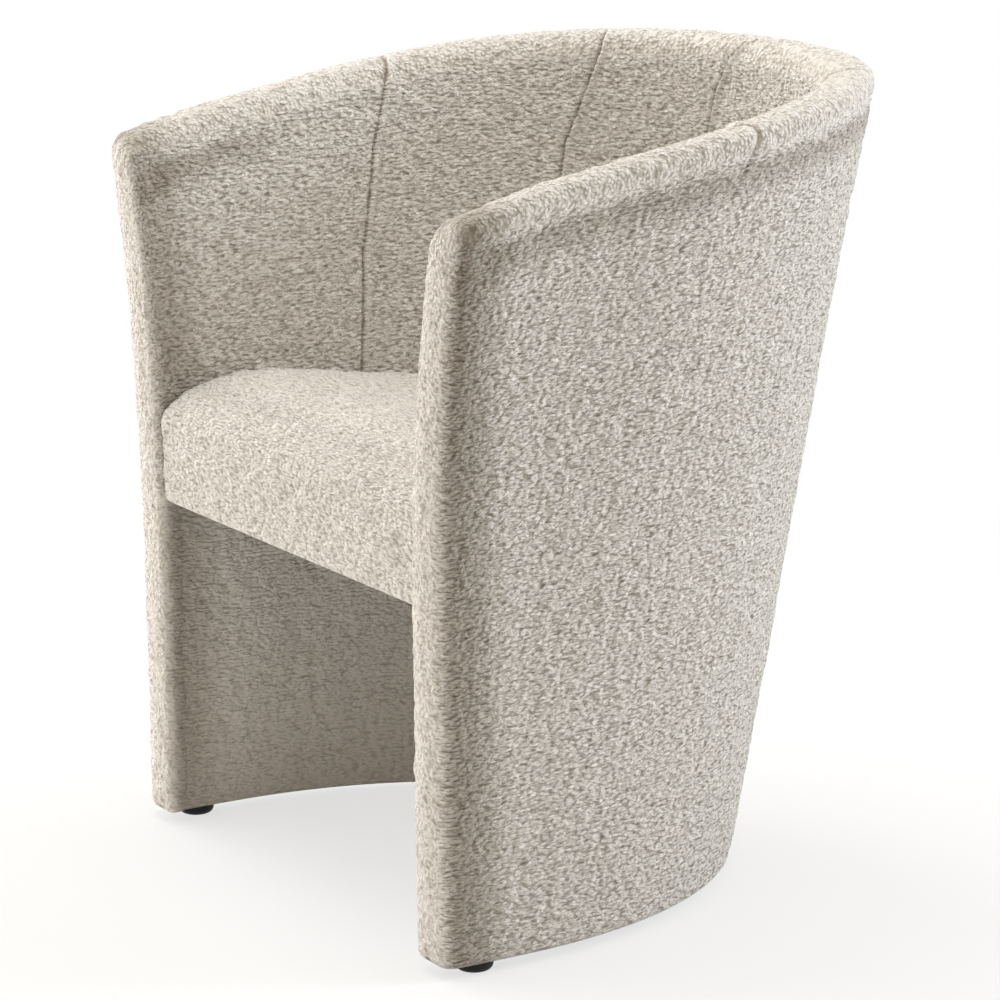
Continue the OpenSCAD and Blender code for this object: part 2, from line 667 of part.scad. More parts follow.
module seat_front_rail() {
    l = rail_x - seat_hem_r;
    color(pine_colour) translate([-l, rail_front, 0]) rotate([0, 0, -90]) rail(2*l);
}

module seat_side_rail(side) {
    color(pine_colour) difference() {
        translate([side*rail_x, rail_back, 0]) mirror([side < 0 ? 1 : 0, 0, 0])
            rail(arm_end_y(rail_low) - rail_back);
        on_bolts([side]) translate([0, 0, rail_x - seat_rail_t - over])
            cylinder(d = clear_d, h = seat_rail_t + 2*over, $fn = 32);
    }
}

// The rear rail is a chord of the curved back
module seat_back_rail() {
    p = wall_pt([1, seat_chord_share, 0], wall_t + seat_gap + seat_e, rail_low);
    color(pine_colour) translate([p[0], p[1], 0]) rotate([0, 0, 90]) rail(2*p[0]);
}

// Outline of a flat layer of the seat, cut straight along the front
module seat_plan(z, e, front) {
    points = [for (p = around([for (v = [0:half_points - 1]) seat_vertex(v, e, z)])) [p[0], p[1]]];
    intersection() {
        polygon(points);
        translate([-waist_w, front]) square([2*waist_w, chair_d]);
    }
}

module seat_ring() {
    color(ply_colour) translate([0, 0, ring_low]) linear_extrude(seat_ring_t) difference() {
        seat_plan(ring_low, seat_e, rail_front);
        seat_plan(ring_low, seat_e + seat_ring_w, rail_front + seat_ring_w);
    }
}

// Webbing: straps run over and under each other, stapled to the ring at their ends
strap_d = wall_t + seat_gap + seat_e + seat_ring_w/2;
open_front = rail_front + seat_ring_w;
open_depth = back_y(ring_low) - wall_t - seat_gap - seat_e - seat_ring_w - open_front;
open_x = half_w(ring_low) - wall_t - seat_gap - seat_e - seat_ring_w;
strap_xs = [for (s = strap_x_shares) s*open_x];
strap_ys = [for (s = strap_y_shares) open_front + s*open_depth];
function bowed(share) = pow(max(0, 1 - pow(share, curve_power)), 1/curve_power);
function strap_end_y(x) =
    curve_y(ring_low) + (curve_d - strap_d)*bowed(abs(x)/(half_w(ring_low) - strap_d));
function strap_end_x(y) = (half_w(ring_low) - strap_d)
    *bowed(max(0, y - curve_y(ring_low))/(curve_d - strap_d));

// Side view of a strap: level 0 lies on the ring, and level 1 passes over a strap at level 0
module strap_profile(from, to, crossings, levels) {
    half = strap_w/2 + gap;
    path = concat([[from, 0]],
        flat([for (i = [0:len(crossings) - 1])
            [[crossings[i] - half, levels[i]], [crossings[i] + half, levels[i]]]]),
        [[to, 0]]);
    n = len(path);
    polygon(concat([for (q = path) [q[0], q[1]*strap_step]],
        [for (i = [n - 1:-1:0]) [path[i][0], path[i][1]*strap_step + strap_t]]));
}

module webbing_lengthwise() {
    color(webbing_colour) for (i = [0:len(strap_xs) - 1])
        translate([strap_xs[i] - strap_w/2, 0, strap_low]) rotate([90, 0, 90])
            linear_extrude(strap_w) strap_profile(open_front - seat_ring_w/2,
                strap_end_y(strap_xs[i]), strap_ys,
                [for (j = [0:len(strap_ys) - 1]) (i + j)%2]);
}

module webbing_crosswise() {
    color(webbing_colour) for (j = [0:len(strap_ys) - 1]) let (x = strap_end_x(strap_ys[j]))
        translate([0, strap_ys[j] + strap_w/2, strap_low]) rotate([90, 0, 0])
            linear_extrude(strap_w) strap_profile(-x, x, strap_xs,
                [for (i = [0:len(strap_xs) - 1]) 1 - (i + j)%2]);
}

module webbing_felt() {
    color(webbing_colour) translate([0, 0, felt_low]) linear_extrude(felt_t)
        seat_plan(ring_low, seat_e + seat_hem_r, rail_front + seat_hem_r);
}

// Foam in front of the rail, swollen like the cover over it and following its turn at the bottom
// and its rounding at the top
module seat_front_pad() {
    top = foam_low - gap;
    turn = seat_low + seat_hem_r;
    round_from = seat_edge_h - seat_front_r;
    x = rail_x - seat_corner_r;
    edge = [[turn - rail_low, rail_low], [0, turn], [-seat_bulge, bulge_z], [0, round_from],
        [(top - round_from)*tan(45/edge_steps), top]];
    color(foam_colour) translate([-x, 0, 0]) rotate([90, 0, 90]) linear_extrude(2*x)
        polygon(concat([for (q = edge) [seat_front(q[1]) + seat_e + q[0], q[1]]],
            [[rail_front - gap, top], [rail_front - gap, rail_low]]));
}

module seat_dust_cover() {
    color(black_colour) translate([0, 0, seat_low - gap - dust_t]) linear_extrude(dust_t)
        seat_plan(seat_low, dust_edge, seat_front(seat_low) + dust_edge);
}

// Fasteners

bolt_head_at = rail_x - seat_rail_t - washer_t - bolt_head_h;
bolt_len = wall_x(bolt_ys[1], nut_seat) - bolt_head_at;

module seat_bolts() {
    color(steel_colour) on_bolts([-1, 1]) translate([0, 0, bolt_head_at]) {
        cylinder(d = bolt_head_d, h = bolt_head_h, $fn = 6);
        cylinder(d = bolt_d, h = bolt_len, $fn = 32);
    }
}

module bolt_washers() {
    color(steel_colour) on_bolts([-1, 1]) translate([0, 0, bolt_head_at + bolt_head_h])
        difference() {
            cylinder(d = washer_d, h = washer_t, $fn = 48);
            translate([0, 0, -over]) cylinder(d = clear_d, h = washer_t + 2*over, $fn = 32);
        }
}

// A tee nut sits in the bearer's outer side, its barrel towards the seat
module tee_nuts() {
    nut_l = nut_barrel_l + nut_flange_t;
    color(steel_colour) on_bolts([-1, 1])
        translate([0, 0, wall_x($bolt_y, nut_seat) - nut_barrel_l]) difference() {
            union() {
                cylinder(d = nut_barrel_d, h = nut_l, $fn = 32);
                translate([0, 0, nut_barrel_l])
                    cylinder(d = nut_flange_d, h = nut_flange_t, $fn = 48);
            }
            translate([0, 0, -over])
                cylinder(d = bolt_d + 2*screw_play, h = nut_l + 2*over, $fn = 32);
        }
}

// Feet

module foot(centre) {
    arc = [for (i = [0:foot_arc_steps]) 90*i/foot_arc_steps];
    r = foot_d/2;
    recess_r = screw_head_d/2 + screw_d/4;
    color(black_colour) translate([centre[0], centre[1], 0]) rotate_extrude($fn = 64)
        polygon(concat([[recess_r, 0]],
            [for (a = arc) [r - foot_r + foot_r*sin(a), foot_r - foot_r*cos(a)]],
            [[r, hem_z], [screw_d/2 + bolt_play, hem_z], [screw_d/2 + bolt_play, foot_sink],
                [recess_r, foot_sink]]));
}

module foot_screws() {
    r = screw_d/2;
    tip = foot_sink + screw_len;
    color(steel_colour) for (c = foot_centres) translate([c[0], c[1], 0])
        rotate_extrude($fn = 32) polygon([[0, foot_sink - screw_head_h],
            [screw_head_d/2 - r/2, foot_sink - screw_head_h],
            [screw_head_d/2, foot_sink - screw_head_h + r/2], [screw_head_d/2, foot_sink],
            [r, foot_sink], [r, tip - screw_d], [0, tip]]);
}

base_ring();
rim_rail();
back_rail();
front_post(-1);  // front_post_left
front_post(1);  // front_post_right
curve_post(-1, side_post_share);  // side_post_left
curve_post(1, side_post_share);  // side_post_right
curve_post(-1, rear_post_share);  // rear_post_left
curve_post(1, rear_post_share);  // rear_post_right
seat_bearer(-1);  // seat_bearer_left
seat_bearer(1);  // seat_bearer_right
outer_panel();
inner_panel();
arm_padding(-1);  // wall_padding_left
back_padding();  // wall_padding_back
arm_padding(1);  // wall_padding_right
wall_cover();
dart_seams();
hem_strip();
seat_front_rail();
seat_side_rail(-1);  // seat_side_rail_left
seat_side_rail(1);  // seat_side_rail_right
seat_back_rail();
seat_ring();
webbing_lengthwise();
webbing_crosswise();
webbing_felt();
seat_foam();
seat_front_pad();
seat_cover();
seat_dust_cover();
seat_bolts();
bolt_washers();
tee_nuts();
foot(foot_centres[0]);  // foot_front_left
foot(foot_centres[1]);  // foot_front_right
foot(foot_centres[2]);  // foot_rear_left
foot(foot_centres[3]);  // foot_rear_right
foot_screws();
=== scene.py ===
# %% [markdown]
# # An upholstered tub chair
#
# One padded wall bends round the sitter as both arms and the back. It leans out towards the rim,
# and a sprung seat is bolted between the arms above an open space. The wall and the seat wear the
# same cream cloth, whose pile is a carpet of small curled loops. Carcass, webbing, bolts and
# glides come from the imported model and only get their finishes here. The padded wall, the seat
# and the thin dust cover under it are made here, because they are soft.

import json
import math

import bpy
import numpy as np
from mathutils import Euler, Matrix


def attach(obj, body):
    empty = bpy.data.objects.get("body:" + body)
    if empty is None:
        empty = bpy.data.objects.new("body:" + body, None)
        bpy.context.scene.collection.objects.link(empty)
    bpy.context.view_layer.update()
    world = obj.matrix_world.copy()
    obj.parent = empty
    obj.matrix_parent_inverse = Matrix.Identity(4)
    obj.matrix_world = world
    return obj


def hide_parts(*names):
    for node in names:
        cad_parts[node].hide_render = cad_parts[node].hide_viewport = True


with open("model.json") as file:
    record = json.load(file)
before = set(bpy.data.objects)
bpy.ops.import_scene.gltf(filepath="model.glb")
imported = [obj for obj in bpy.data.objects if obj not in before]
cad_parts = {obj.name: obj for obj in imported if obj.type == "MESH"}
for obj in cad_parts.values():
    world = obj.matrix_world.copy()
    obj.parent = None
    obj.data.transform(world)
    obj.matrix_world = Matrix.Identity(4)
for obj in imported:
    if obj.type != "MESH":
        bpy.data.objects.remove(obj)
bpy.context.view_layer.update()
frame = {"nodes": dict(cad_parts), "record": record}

# %% [markdown]
# ## The camera
#
# The picture was taken from the right of the chair, a little above the arms, with a long lens
# from a few metres off: the upright edges stay nearly parallel. The camera is made first, so that
# each piece can be judged from there. Its place and lens come from fitting the wall's outline.

# %% Camera
TARGET, DISTANCE = (0.0894, -0.0969, 0.36274), 3.5
AZIMUTH, PITCH, ROLL = math.radians(58.558), math.radians(13.05), math.radians(-0.14)
LENS_MM, SENSOR_MM = 139.562, 36.0
SHIFT = (-0.005753, 0.003011)

camera = bpy.data.objects.new("camera", bpy.data.cameras.new("camera"))
bpy.context.scene.collection.objects.link(camera)
towards = np.array([math.sin(AZIMUTH)*math.cos(PITCH), -math.cos(AZIMUTH)*math.cos(PITCH),
                    math.sin(PITCH)])
camera.location = np.array(TARGET) + DISTANCE*towards
turn = Euler((math.pi/2 - PITCH, 0, AZIMUTH)).to_matrix() @ Matrix.Rotation(ROLL, 3, "Z")
camera.rotation_euler = turn.to_euler()
camera.data.lens, camera.data.sensor_width = LENS_MM, SENSOR_MM
camera.data.shift_x, camera.data.shift_y = SHIFT
camera.data.clip_end = 50
bpy.context.scene.camera = camera
print("camera", [round(v, 3) for v in camera.location])

# %% [markdown]
# ## Helpers for surfaces
#
# Every soft piece is a surface worked out with numpy: rows and columns of points, whole arrays at
# a time. These helpers turn such a grid into a mesh, give smooth steps and smooth random lumps,
# and find the direction in which a surface faces.

# %% Mesh and noise helpers
def point_value(mesh, key, values):
    """Stores one number per point on a mesh, for its material to read."""
    mesh.attributes.new(key, "FLOAT", "POINT").data.foreach_set(
        "value", np.asarray(values, np.float32).ravel())


def make_piece(name, points, faces, corner_uv=None, **point_values):
    """A mesh object at the origin from points (n, 3) and faces (m, 4), or (m, 3). corner_uv has
    one pair for each corner of each face, and each further value has one number per point."""
    faces = np.asarray(faces, np.int32)
    mesh = bpy.data.meshes.new(name)
    mesh.vertices.add(len(points))
    mesh.vertices.foreach_set("co", np.asarray(points, np.float32).ravel())
    mesh.loops.add(faces.size)
    mesh.loops.foreach_set("vertex_index", faces.ravel())
    mesh.polygons.add(len(faces))
    mesh.polygons.foreach_set("loop_start", np.arange(0, faces.size, faces.shape[1], np.int32))
    mesh.update(calc_edges=True)
    mesh.polygons.foreach_set("use_smooth", np.ones(len(faces), bool))
    if corner_uv is not None:
        mesh.uv_layers.new(name="cloth").data.foreach_set(
            "uv", np.asarray(corner_uv, np.float32).ravel())
    for key, values in point_values.items():
        point_value(mesh, key, values)
    mesh.validate()
    piece = bpy.data.objects.new(name, mesh)
    bpy.context.scene.collection.objects.link(piece)
    return piece


def ease(x, low, high):
    """0 below low and 1 above high, with the smooth step 3s^2 - 2s^3 between them."""
    s = np.clip((x - low)/(high - low), 0, 1)
    return s*s*(3 - 2*s)


def bell(distance, width):
    """1 at a line, and e^-(distance/width)^2 beside it."""
    return np.exp(-(distance/width)**2)


LATTICE = 64


def lumps(points, size, seed):
    """Smooth random lumps in space, from -1 to 1: random numbers sit on a lattice whose cells
    are size wide, and each point takes the smooth blend of the eight corners of its cell."""
    table = np.random.default_rng(seed).uniform(-1, 1, (LATTICE, LATTICE, LATTICE))
    q = points/np.asarray(size, float)
    low = np.floor(q).astype(int)
    s = q - low
    s = s*s*(3 - 2*s)
    total = np.zeros(q.shape[:-1])
    for i, j, k in np.ndindex(2, 2, 2):
        corner = (low + (i, j, k))%LATTICE
        weight = np.prod(np.where((i, j, k), s, 1 - s), axis=-1)
        total += weight*table[corner[..., 0], corner[..., 1], corner[..., 2]]
    return total


def pile_lumps(points, seed):
    """Loose lumps of the pile, from -1 to 1, large and small."""
    return 0.65*lumps(points, 0.0085, seed) + 0.35*lumps(points, 0.0052, seed + 1)


def facing(grid):
    """Unit normals of a grid (rows, columns, 3), whose rows are closed rings, from the cross
    product of its two central differences."""
    across = np.roll(grid, -1, 1) - np.roll(grid, 1, 1)
    normal = np.cross(np.gradient(grid, axis=0), across)
    return normal/np.maximum(np.linalg.norm(normal, axis=-1, keepdims=True), 1e-12)


def volume(points, faces):
    """Signed volume of a closed mesh: a sixth of the sum of each triangle's triple product. It is
    positive where the faces point outwards."""
    tris = np.concatenate([faces[:, [0, i, i + 1]] for i in range(1, faces.shape[1] - 1)])
    a, b, c = (points[tris[:, i]] for i in range(3))
    return float(np.einsum("ij,ij->i", a, np.cross(b, c)).sum()/6)


def ring_quads(index):
    """Quads between the neighbours of a grid of point numbers, whose rows close into rings."""
    after = np.roll(index, -1, 1)
    return np.stack([index[:-1], after[:-1], after[1:], index[1:]], axis=-1).reshape(-1, 4)


def capped_rings(rings):
    """Points and outward triangles of a closed solid from rings (n, k, 3). The first and last
    rings are closed by a fan round their middle."""
    n, k = rings.shape[:2]
    index = np.arange(n*k).reshape(n, k)
    after, quads, hubs = np.roll(index, -1, 1), ring_quads(index), np.full(k, n*k)
    points = np.concatenate([rings.reshape(-1, 3), rings[[0, -1]].mean(axis=1)])
    tris = np.concatenate([quads[:, [0, 1, 2]], quads[:, [0, 2, 3]],
                           np.stack([after[0], index[0], hubs], axis=-1),
                           np.stack([index[-1], after[-1], hubs + 1], axis=-1)])
    return points, tris if volume(points, tris) > 0 else tris[:, ::-1]


# %% [markdown]
# ## The plan of the wall
#
# Seen from above, the wall runs straight back along each arm and closes in a curve a little
# squarer than an ellipse. Higher up, the sides lean out and the back leans away from the sitter.
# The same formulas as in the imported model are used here, without its facets, so that the cloth
# lies on the frame.

# %% Plan functions
WAIST_W, CHAIR_D, CHAIR_H, ARM_H = 0.574, 0.574, 0.750, 0.666
SIDE_FLARE, FLARE_FROM, FLARE_POWER = 0.048, 0.200, 2.8
BACK_LEAN, LEAN_POWER, FRONT_LEAN = 0.133, 1.36, 0.008
CURVE_D, CURVE_POWER, ARM_SPLAY, RIM_POWER = 0.366, 2.1, 0.012, 1.53
WALL_T, RIM_R, FRONT_R, INNER_R = 0.045, 0.016, 0.018, 0.005
HEM_Z, HEM_R, HEM_RETURN = 0.010, 0.006, 0.012


def half_width(z):
    """Half the waist, plus a flare that grows with the 2.8th power of the height above its
    start."""
    above = np.clip(z - FLARE_FROM, 0, None)/(ARM_H - FLARE_FROM)
    return WAIST_W/2 + SIDE_FLARE*above**FLARE_POWER


def narrowing(z):
    """How far the arms have drawn in where the curve starts, in step with the height."""
    return ARM_SPLAY*z/ARM_H


def front_edge(z):
    """Y of the arm fronts, which lean forwards by a straight line."""
    return -CHAIR_D/2 + FRONT_LEAN*np.clip(1 - z/ARM_H, 0, None)


def back_edge(z):
    """Y of the middle of the back, whose lean dies away towards the rim."""
    return CHAIR_D/2 - BACK_LEAN*np.clip(1 - z/CHAIR_H, 0, None)**LEAN_POWER


def arm_run(z):
    """Length of the straight arm at a height."""
    return back_edge(z) - CURVE_D - front_edge(z)


def wall_point(t, z, depth):
    """Point of the right half of the wall, depth below its outer face. t runs from 0 to 1 along
    the arm, and from 1 to 2 round the quarter curve, where x and y are the half axes times
    cosine and sine to the power 2/2.1. The depth is laid off square to the plan."""
    turn = np.pi/2*np.clip(t - 1, 0, 1)
    c, s = np.clip(np.cos(turn), 0, 1), np.sin(turn)
    half = half_width(z) - narrowing(z)
    x = np.where(t < 1, half_width(z) - narrowing(z)*(1 - (1 - np.clip(t, 0, 1))**2),
                 half*c**(2/CURVE_POWER))
    y = np.where(t < 1, front_edge(z) + t*arm_run(z),
                 front_edge(z) + arm_run(z) + CURVE_D*s**(2/CURVE_POWER))
    nx, ny = CURVE_D*c**(2 - 2/CURVE_POWER), half*s**(2 - 2/CURVE_POWER)
    size = np.hypot(nx, ny)
    return np.stack(np.broadcast_arrays(x - depth*nx/size, y - depth*ny/size, z), axis=-1)


def rim_height(t):
    """Height of the rim, which rises quickly behind the arm fronts and levels out at the back."""
    y = wall_point(t, ARM_H, 0.0)[..., 1]
    share = np.clip((y + CHAIR_D/2)/CHAIR_D, 0, 1)
    return ARM_H + (CHAIR_H - ARM_H)*(1 - (1 - share)**RIM_POWER)


print("arm run at floor and rim", round(float(arm_run(0.0)), 4), round(float(arm_run(ARM_H)), 4))

# %% [markdown]
# ## The padded wall
#
# On the real chair a thin sheet of foam is glued round the carcass, and one piece of cloth is
# pulled over it: up the outside, over the rim and down the inside. A cloth simulation would hardly
# move so tight a cover, so the surface is worked out directly. Its rings run round the section of
# the wall, and the rings follow each other from the left arm front round the back to the right
# one. At an arm front the rings first draw in round the edge and then close over the flat end.

# %% Skins of the wall
CLOSING_RINGS, CLOSED_GAP, EDGE_RINGS, LEAST_R = 5, 0.0004, 9, 0.0005
FRONT_SWELL, SWELL_FROM, SWELL_TO = 0.0045, 0.006, 0.030
FRONT_DIP, DIP_RUN = 0.004, 0.09
GROOVE_FROM, GROOVE_TO, RIM_CREST = 0.001, 0.012, 0.0006
MOST_RIM, MOST_HEM, MOST_RETURN = 0.96, 0.6, 0.8
HEM_COLUMNS, RIM_STEPS, RIM_FLAT, FLAT_TO = 9, 14, 3, 0.92


def stations(inset, arm_steps, curve_shares):
    """One row per ring of the right half: how far it has closed over the arm front (0 to 1), its
    distance behind the skin's own front, its share of the arm, and its share of the curve."""
    r = FRONT_R - inset
    closing = [(1 - i/CLOSING_RINGS, 0, 0, 0) for i in range(CLOSING_RINGS)]
    edge = [(0, r*(1 - math.cos(a)), 0, 0) for a in np.linspace(0, np.pi/2, EDGE_RINGS)]
    arm = [(0, r, f, 0) for f in np.linspace(0, 1, arm_steps + 1)[1:]]
    return np.array(closing + edge + arm + [(0, r, 1, g) for g in curve_shares])


def drawn_in(radius, behind):
    """How far a rounded edge draws in, a distance behind its start: the radius less the height of
    its circle there."""
    rest = np.clip(radius - behind, 0, None)
    return radius - np.sqrt(np.clip(radius**2 - rest**2, 0, None))


def wall_share(rows, inset, run):
    """The plan's t of each ring, where the straight arm is run long."""
    return (rows[:, 1:2] + inset)/run + rows[:, 2:3]*(1 - FRONT_R/run) + rows[:, 3:4]


def wall_skin(rows, inset, base, groove, side_rows):
    """Points, depths and heights of the right half of one skin, which lies inset below the face
    of the cloth. Each ring starts in the groove under the wall, goes out along the hem, up the
    outside, over the rim, and back down the inside the same way. The arm fronts swell at their
    inner edge, the rim dips towards them, and the groove closes before it reaches them."""
    closed, behind = rows[:, :1], rows[:, 1:2]
    front_r, inner_r, rim_r, hem_r = (max(r - inset, LEAST_R)
                                      for r in (FRONT_R, INNER_R, RIM_R, HEM_R))
    outside = inset + drawn_in(front_r, behind)
    rim_run = arm_run(ARM_H)
    share = wall_share(rows, inset, rim_run)
    inside = WALL_T - inset - drawn_in(inner_r, behind)
    inside = inside + FRONT_SWELL*(1 - ease(share*rim_run, SWELL_FROM, SWELL_TO))
    hem = base + drawn_in(hem_r, behind)
    reach = closed*((inside - outside)/2 - CLOSED_GAP)
    outside, inside, hem = outside + reach, inside - reach, hem + reach
    rim = rim_height(share) - FRONT_DIP*(1 - ease(share*rim_run, 0, DIP_RUN))
    top = rim - inset - drawn_in(front_r, behind) - reach
    half = (inside - outside)/2
    r, tuck = np.minimum(rim_r, MOST_RIM*half), np.minimum(hem_r, MOST_HEM*half)
    turn_in = np.minimum(HEM_RETURN, MOST_RETURN*half)
    crest = RIM_CREST*(groove > 0)
    groove = groove*ease(share*rim_run, GROOVE_FROM, GROOVE_TO)
    a = np.linspace(0, np.pi/2, HEM_COLUMNS - 3)[None]
    b = np.linspace(0, np.pi/2, RIM_STEPS + 1)[None]
    flat = np.linspace(0, FLAT_TO, RIM_FLAT + 1)[None, 1:]
    up = np.linspace(0, 1, side_rows + 1)[None, 1:-1]
    low, high = hem + tuck, top - r
    depth = np.concatenate([
        turn_in, turn_in, (turn_in + tuck)/2, tuck*(1 - np.sin(a)), 0*up + 0*half,
        r*(1 - np.cos(b)), r + (half - r)*flat], axis=1)
    height = np.concatenate([
        hem + groove, hem, hem, hem + tuck*(1 - np.cos(a)), low + up*(high - low),
        high + r*np.sin(b), top + crest*flat], axis=1)
    depth = np.concatenate([outside + depth, (inside - depth)[:, ::-1]], axis=1)
    height = np.concatenate([height, height[:, ::-1]], axis=1)
    points = wall_point(wall_share(rows, inset, arm_run(height)), height, depth)
    return points, depth, height


def both_sides(half, sign=1):
    """The mirrored left half and the right half as one grid, the middle ring used once. sign
    turns the values that change sides, such as x."""
    return np.concatenate([half*sign, half[-2::-1]])


def skin_faces(rings, columns):
    """Faces of a skin: a quad between each four neighbours, and across both ends a strip of quads
    from the outside of the last ring to its inside."""
    index = np.arange(rings*columns).reshape(rings, columns)
    pairs = np.arange(columns//2 - 1)
    end = np.stack([pairs + 1, pairs, columns - 1 - pairs, columns - 2 - pairs], axis=-1)
    return np.concatenate([ring_quads(index), index[0][end], index[-1][end[:, ::-1]]])


ARM_STEPS, CURVE_STEPS, SIDE_ROWS = 120, 300, 176
GROOVE_Z, FRONT_CROWN = 0.01565, 0.0015
RIM_COLUMN = SIDE_ROWS + HEM_COLUMNS - 1
right = stations(0.0, ARM_STEPS, np.linspace(0, 1, CURVE_STEPS + 1)[1:])
half_wall, depth, height = wall_skin(right, 0.0, HEM_Z, GROOVE_Z - HEM_Z, SIDE_ROWS)
half_wall[..., 1] -= FRONT_CROWN*(1 - (1 - right[:, :1])**2)
half_count, ring_count = depth.shape
print("wall grid", half_wall.shape)

# %% [markdown]
# ### The cloth's own coordinates
#
# The pile has a grain: its loops lie in rows along the cloth. So the cloth carries a map of its
# own, in metres. Across, it measures along the wall from the middle of the back. Upwards it
# measures the height outside, and downwards from a line above the rim inside, so that the rows
# are level on both sides. Over the rim it blends from one to the other, which draws the rows
# out there, so the material changes to round tufts on the rim. The flat arm fronts continue the
# map of the outside. A map worked out by unwrapping would turn the rows at every seam.

# %% Cloth coordinates
FOLD_TOP = 1.56
along = np.linalg.norm(np.diff(half_wall[:, :ring_count//2], axis=0), axis=-1)
along = np.concatenate([np.cumsum(along[::-1], axis=0)[::-1], np.zeros((1, ring_count//2))])
along = np.concatenate([along, along[:, ::-1]], axis=1)
around = np.linalg.norm(np.diff(half_wall, axis=1), axis=-1)
around = np.concatenate([np.zeros((half_count, 1)), np.cumsum(around, axis=1)], axis=1)
climb = height.copy()
hem_arc = around[:, HEM_COLUMNS - 1:HEM_COLUMNS] - around[:, :HEM_COLUMNS]
climb[:, :HEM_COLUMNS] = height[:, HEM_COLUMNS - 1:HEM_COLUMNS] - hem_arc
climb[:, -HEM_COLUMNS:] = climb[:, :HEM_COLUMNS][:, ::-1]
rim_from, rim_to = around[:, [RIM_COLUMN]], around[:, [-RIM_COLUMN - 1]]
over = np.clip((around - rim_from)/(rim_to - rim_from), 0, 1)
behind_edge = np.maximum(right, (0, FRONT_R, 0, 0))
rim_base = rim_height(wall_share(behind_edge, 0.0, arm_run(ARM_H))) - RIM_R
climb = np.minimum(climb, rim_base)
rise = (1 - over)*climb + over*(FOLD_TOP - climb)
wall_uv = both_sides(np.stack([along, rise], axis=-1), (-1, 1))
front_u = along[CLOSING_RINGS] + depth - FRONT_R
front_uv = both_sides(np.stack([front_u, height], axis=-1), (-1, 1))
print("cloth runs", round(float(along.max()), 3), "m from the back to an arm front")

# %% [markdown]
# ### Darts and the back's seam
#
# Four darts take up the cloth that the curved rim doesn't need, and a seam joins the two halves
# of the back. Each starts just below the rim on the outside, where it shows as a pulled-in
# crease, and runs down the inside to the seat as a low welt with a crease beside it. The darts
# lean, so a small table gives each one's place round the curve at six heights. Real geometry
# makes them, because a welt and its crease catch the light from every side.

# %% Displace the wall
SEAT_EDGE_H = 0.431
DART_DROP, DART_START = 0.034, 0.024
WELT_H, WELT_W, WELT_BESIDE, LIT_SHARE, LIT_W = 0.0032, 0.0027, 0.0044, 1.1, 0.0022
CREASE_D, CREASE_W, OUTER_D, SHADE_W, CALM_W = 0.0024, 0.0020, 0.0019, 0.0017, 0.007
HOLLOW_D, HOLLOW_W, OUTER_HOLLOW, LEAST_STEP = 0.0010, 0.014, 0.3, 1e-15
PILE_STAND, PILE_LUMP, TUFT_SHARE, SLACK = 0.0004, 0.0019, 0.5, 0.0006


def dart_relief(distance, inside, fade):
    """Height of the cloth beside a dart, in bell curves: inside the chair a welt and a crease
    beside it, outside a crease alone, and a wide hollow under both."""
    ridge = WELT_H*bell(distance, WELT_W)
    crease = -CREASE_D*bell(distance + WELT_BESIDE, CREASE_W)
    hollow = -HOLLOW_D*bell(distance, HOLLOW_W)
    outer = -OUTER_D*bell(distance, CREASE_W) + OUTER_HOLLOW*hollow
    return fade*(inside*(ridge + crease + hollow) + (1 - inside)*outer)


DART_HEIGHTS = (0.43, 0.54, 0.64, 0.70, 0.73, 0.75)
SIDE_DART = (0.113, 0.097, 0.115, 0.145, 0.158, 0.160)
BACK_DART = (0.470, 0.478, 0.508, 0.565, 0.595, 0.605)
CENTRE_SEAM = (0.850, 0.850, 0.853, 0.880, 0.915, 0.960)

share_of_ring = both_sides(right[:, 3:4] + 0*along)
is_right = (np.arange(len(share_of_ring)) >= half_count)[:, None]
along_both, rise_both = both_sides(along), both_sides(rise)
height_both, line_both = both_sides(height), both_sides(height[:, [RIM_COLUMN]])
is_inner = ease(np.arange(ring_count), ring_count/2 - 4, ring_count/2 + 4)[None]
dart_fade = ease(np.where(is_inner > 0.5, line_both, rise_both), line_both - DART_DROP,
                 line_both - DART_DROP + DART_START)
dart_fade = dart_fade*np.where(np.arange(ring_count) > ring_count/2,
                               ease(height_both, SEAT_EDGE_H - 0.030, SEAT_EDGE_H - 0.010), 1)
share_steps = np.abs(np.gradient(share_of_ring + 1e-9*along_both, axis=0))
metres_a_share = np.abs(np.gradient(along_both, axis=0))/np.maximum(share_steps, LEAST_STEP)
metres_a_share = np.clip(metres_a_share, 0.2, 0.6)
relief, crease_shade, calm = (np.zeros_like(along_both) for _ in range(3))
for line, both in ((SIDE_DART, True), (BACK_DART, True), (CENTRE_SEAM, False)):
    distance = (share_of_ring - np.interp(height_both, DART_HEIGHTS, line))*metres_a_share
    here = dart_fade*(1 if both else ~is_right)
    relief += dart_relief(distance, is_inner, here)
    calm += here*bell(distance, CALM_W)
    # Painted shade in the crease beside each welt, less a painted highlight on the welt itself.
    crease_shade += here*(bell(distance + WELT_BESIDE*is_inner, SHADE_W)
                          - LIT_SHARE*is_inner*bell(distance, LIT_W))
print("relief", round(float(relief.min())*1000, 2), "to", round(float(relief.max())*1000, 2), "mm")

# %% [markdown]
# ### Raised pile
#
# The pile stands up in loose lumps nearly a centimetre wide, and in smaller tufts where the cloth
# bends over the rim and the arm fronts, which make the outline of the chair uneven. A Displace
# modifier could push them out, but worked out here they can change from place to place, and lie
# calm beside the darts. The single loops are finer than any mesh, so the material adds them.

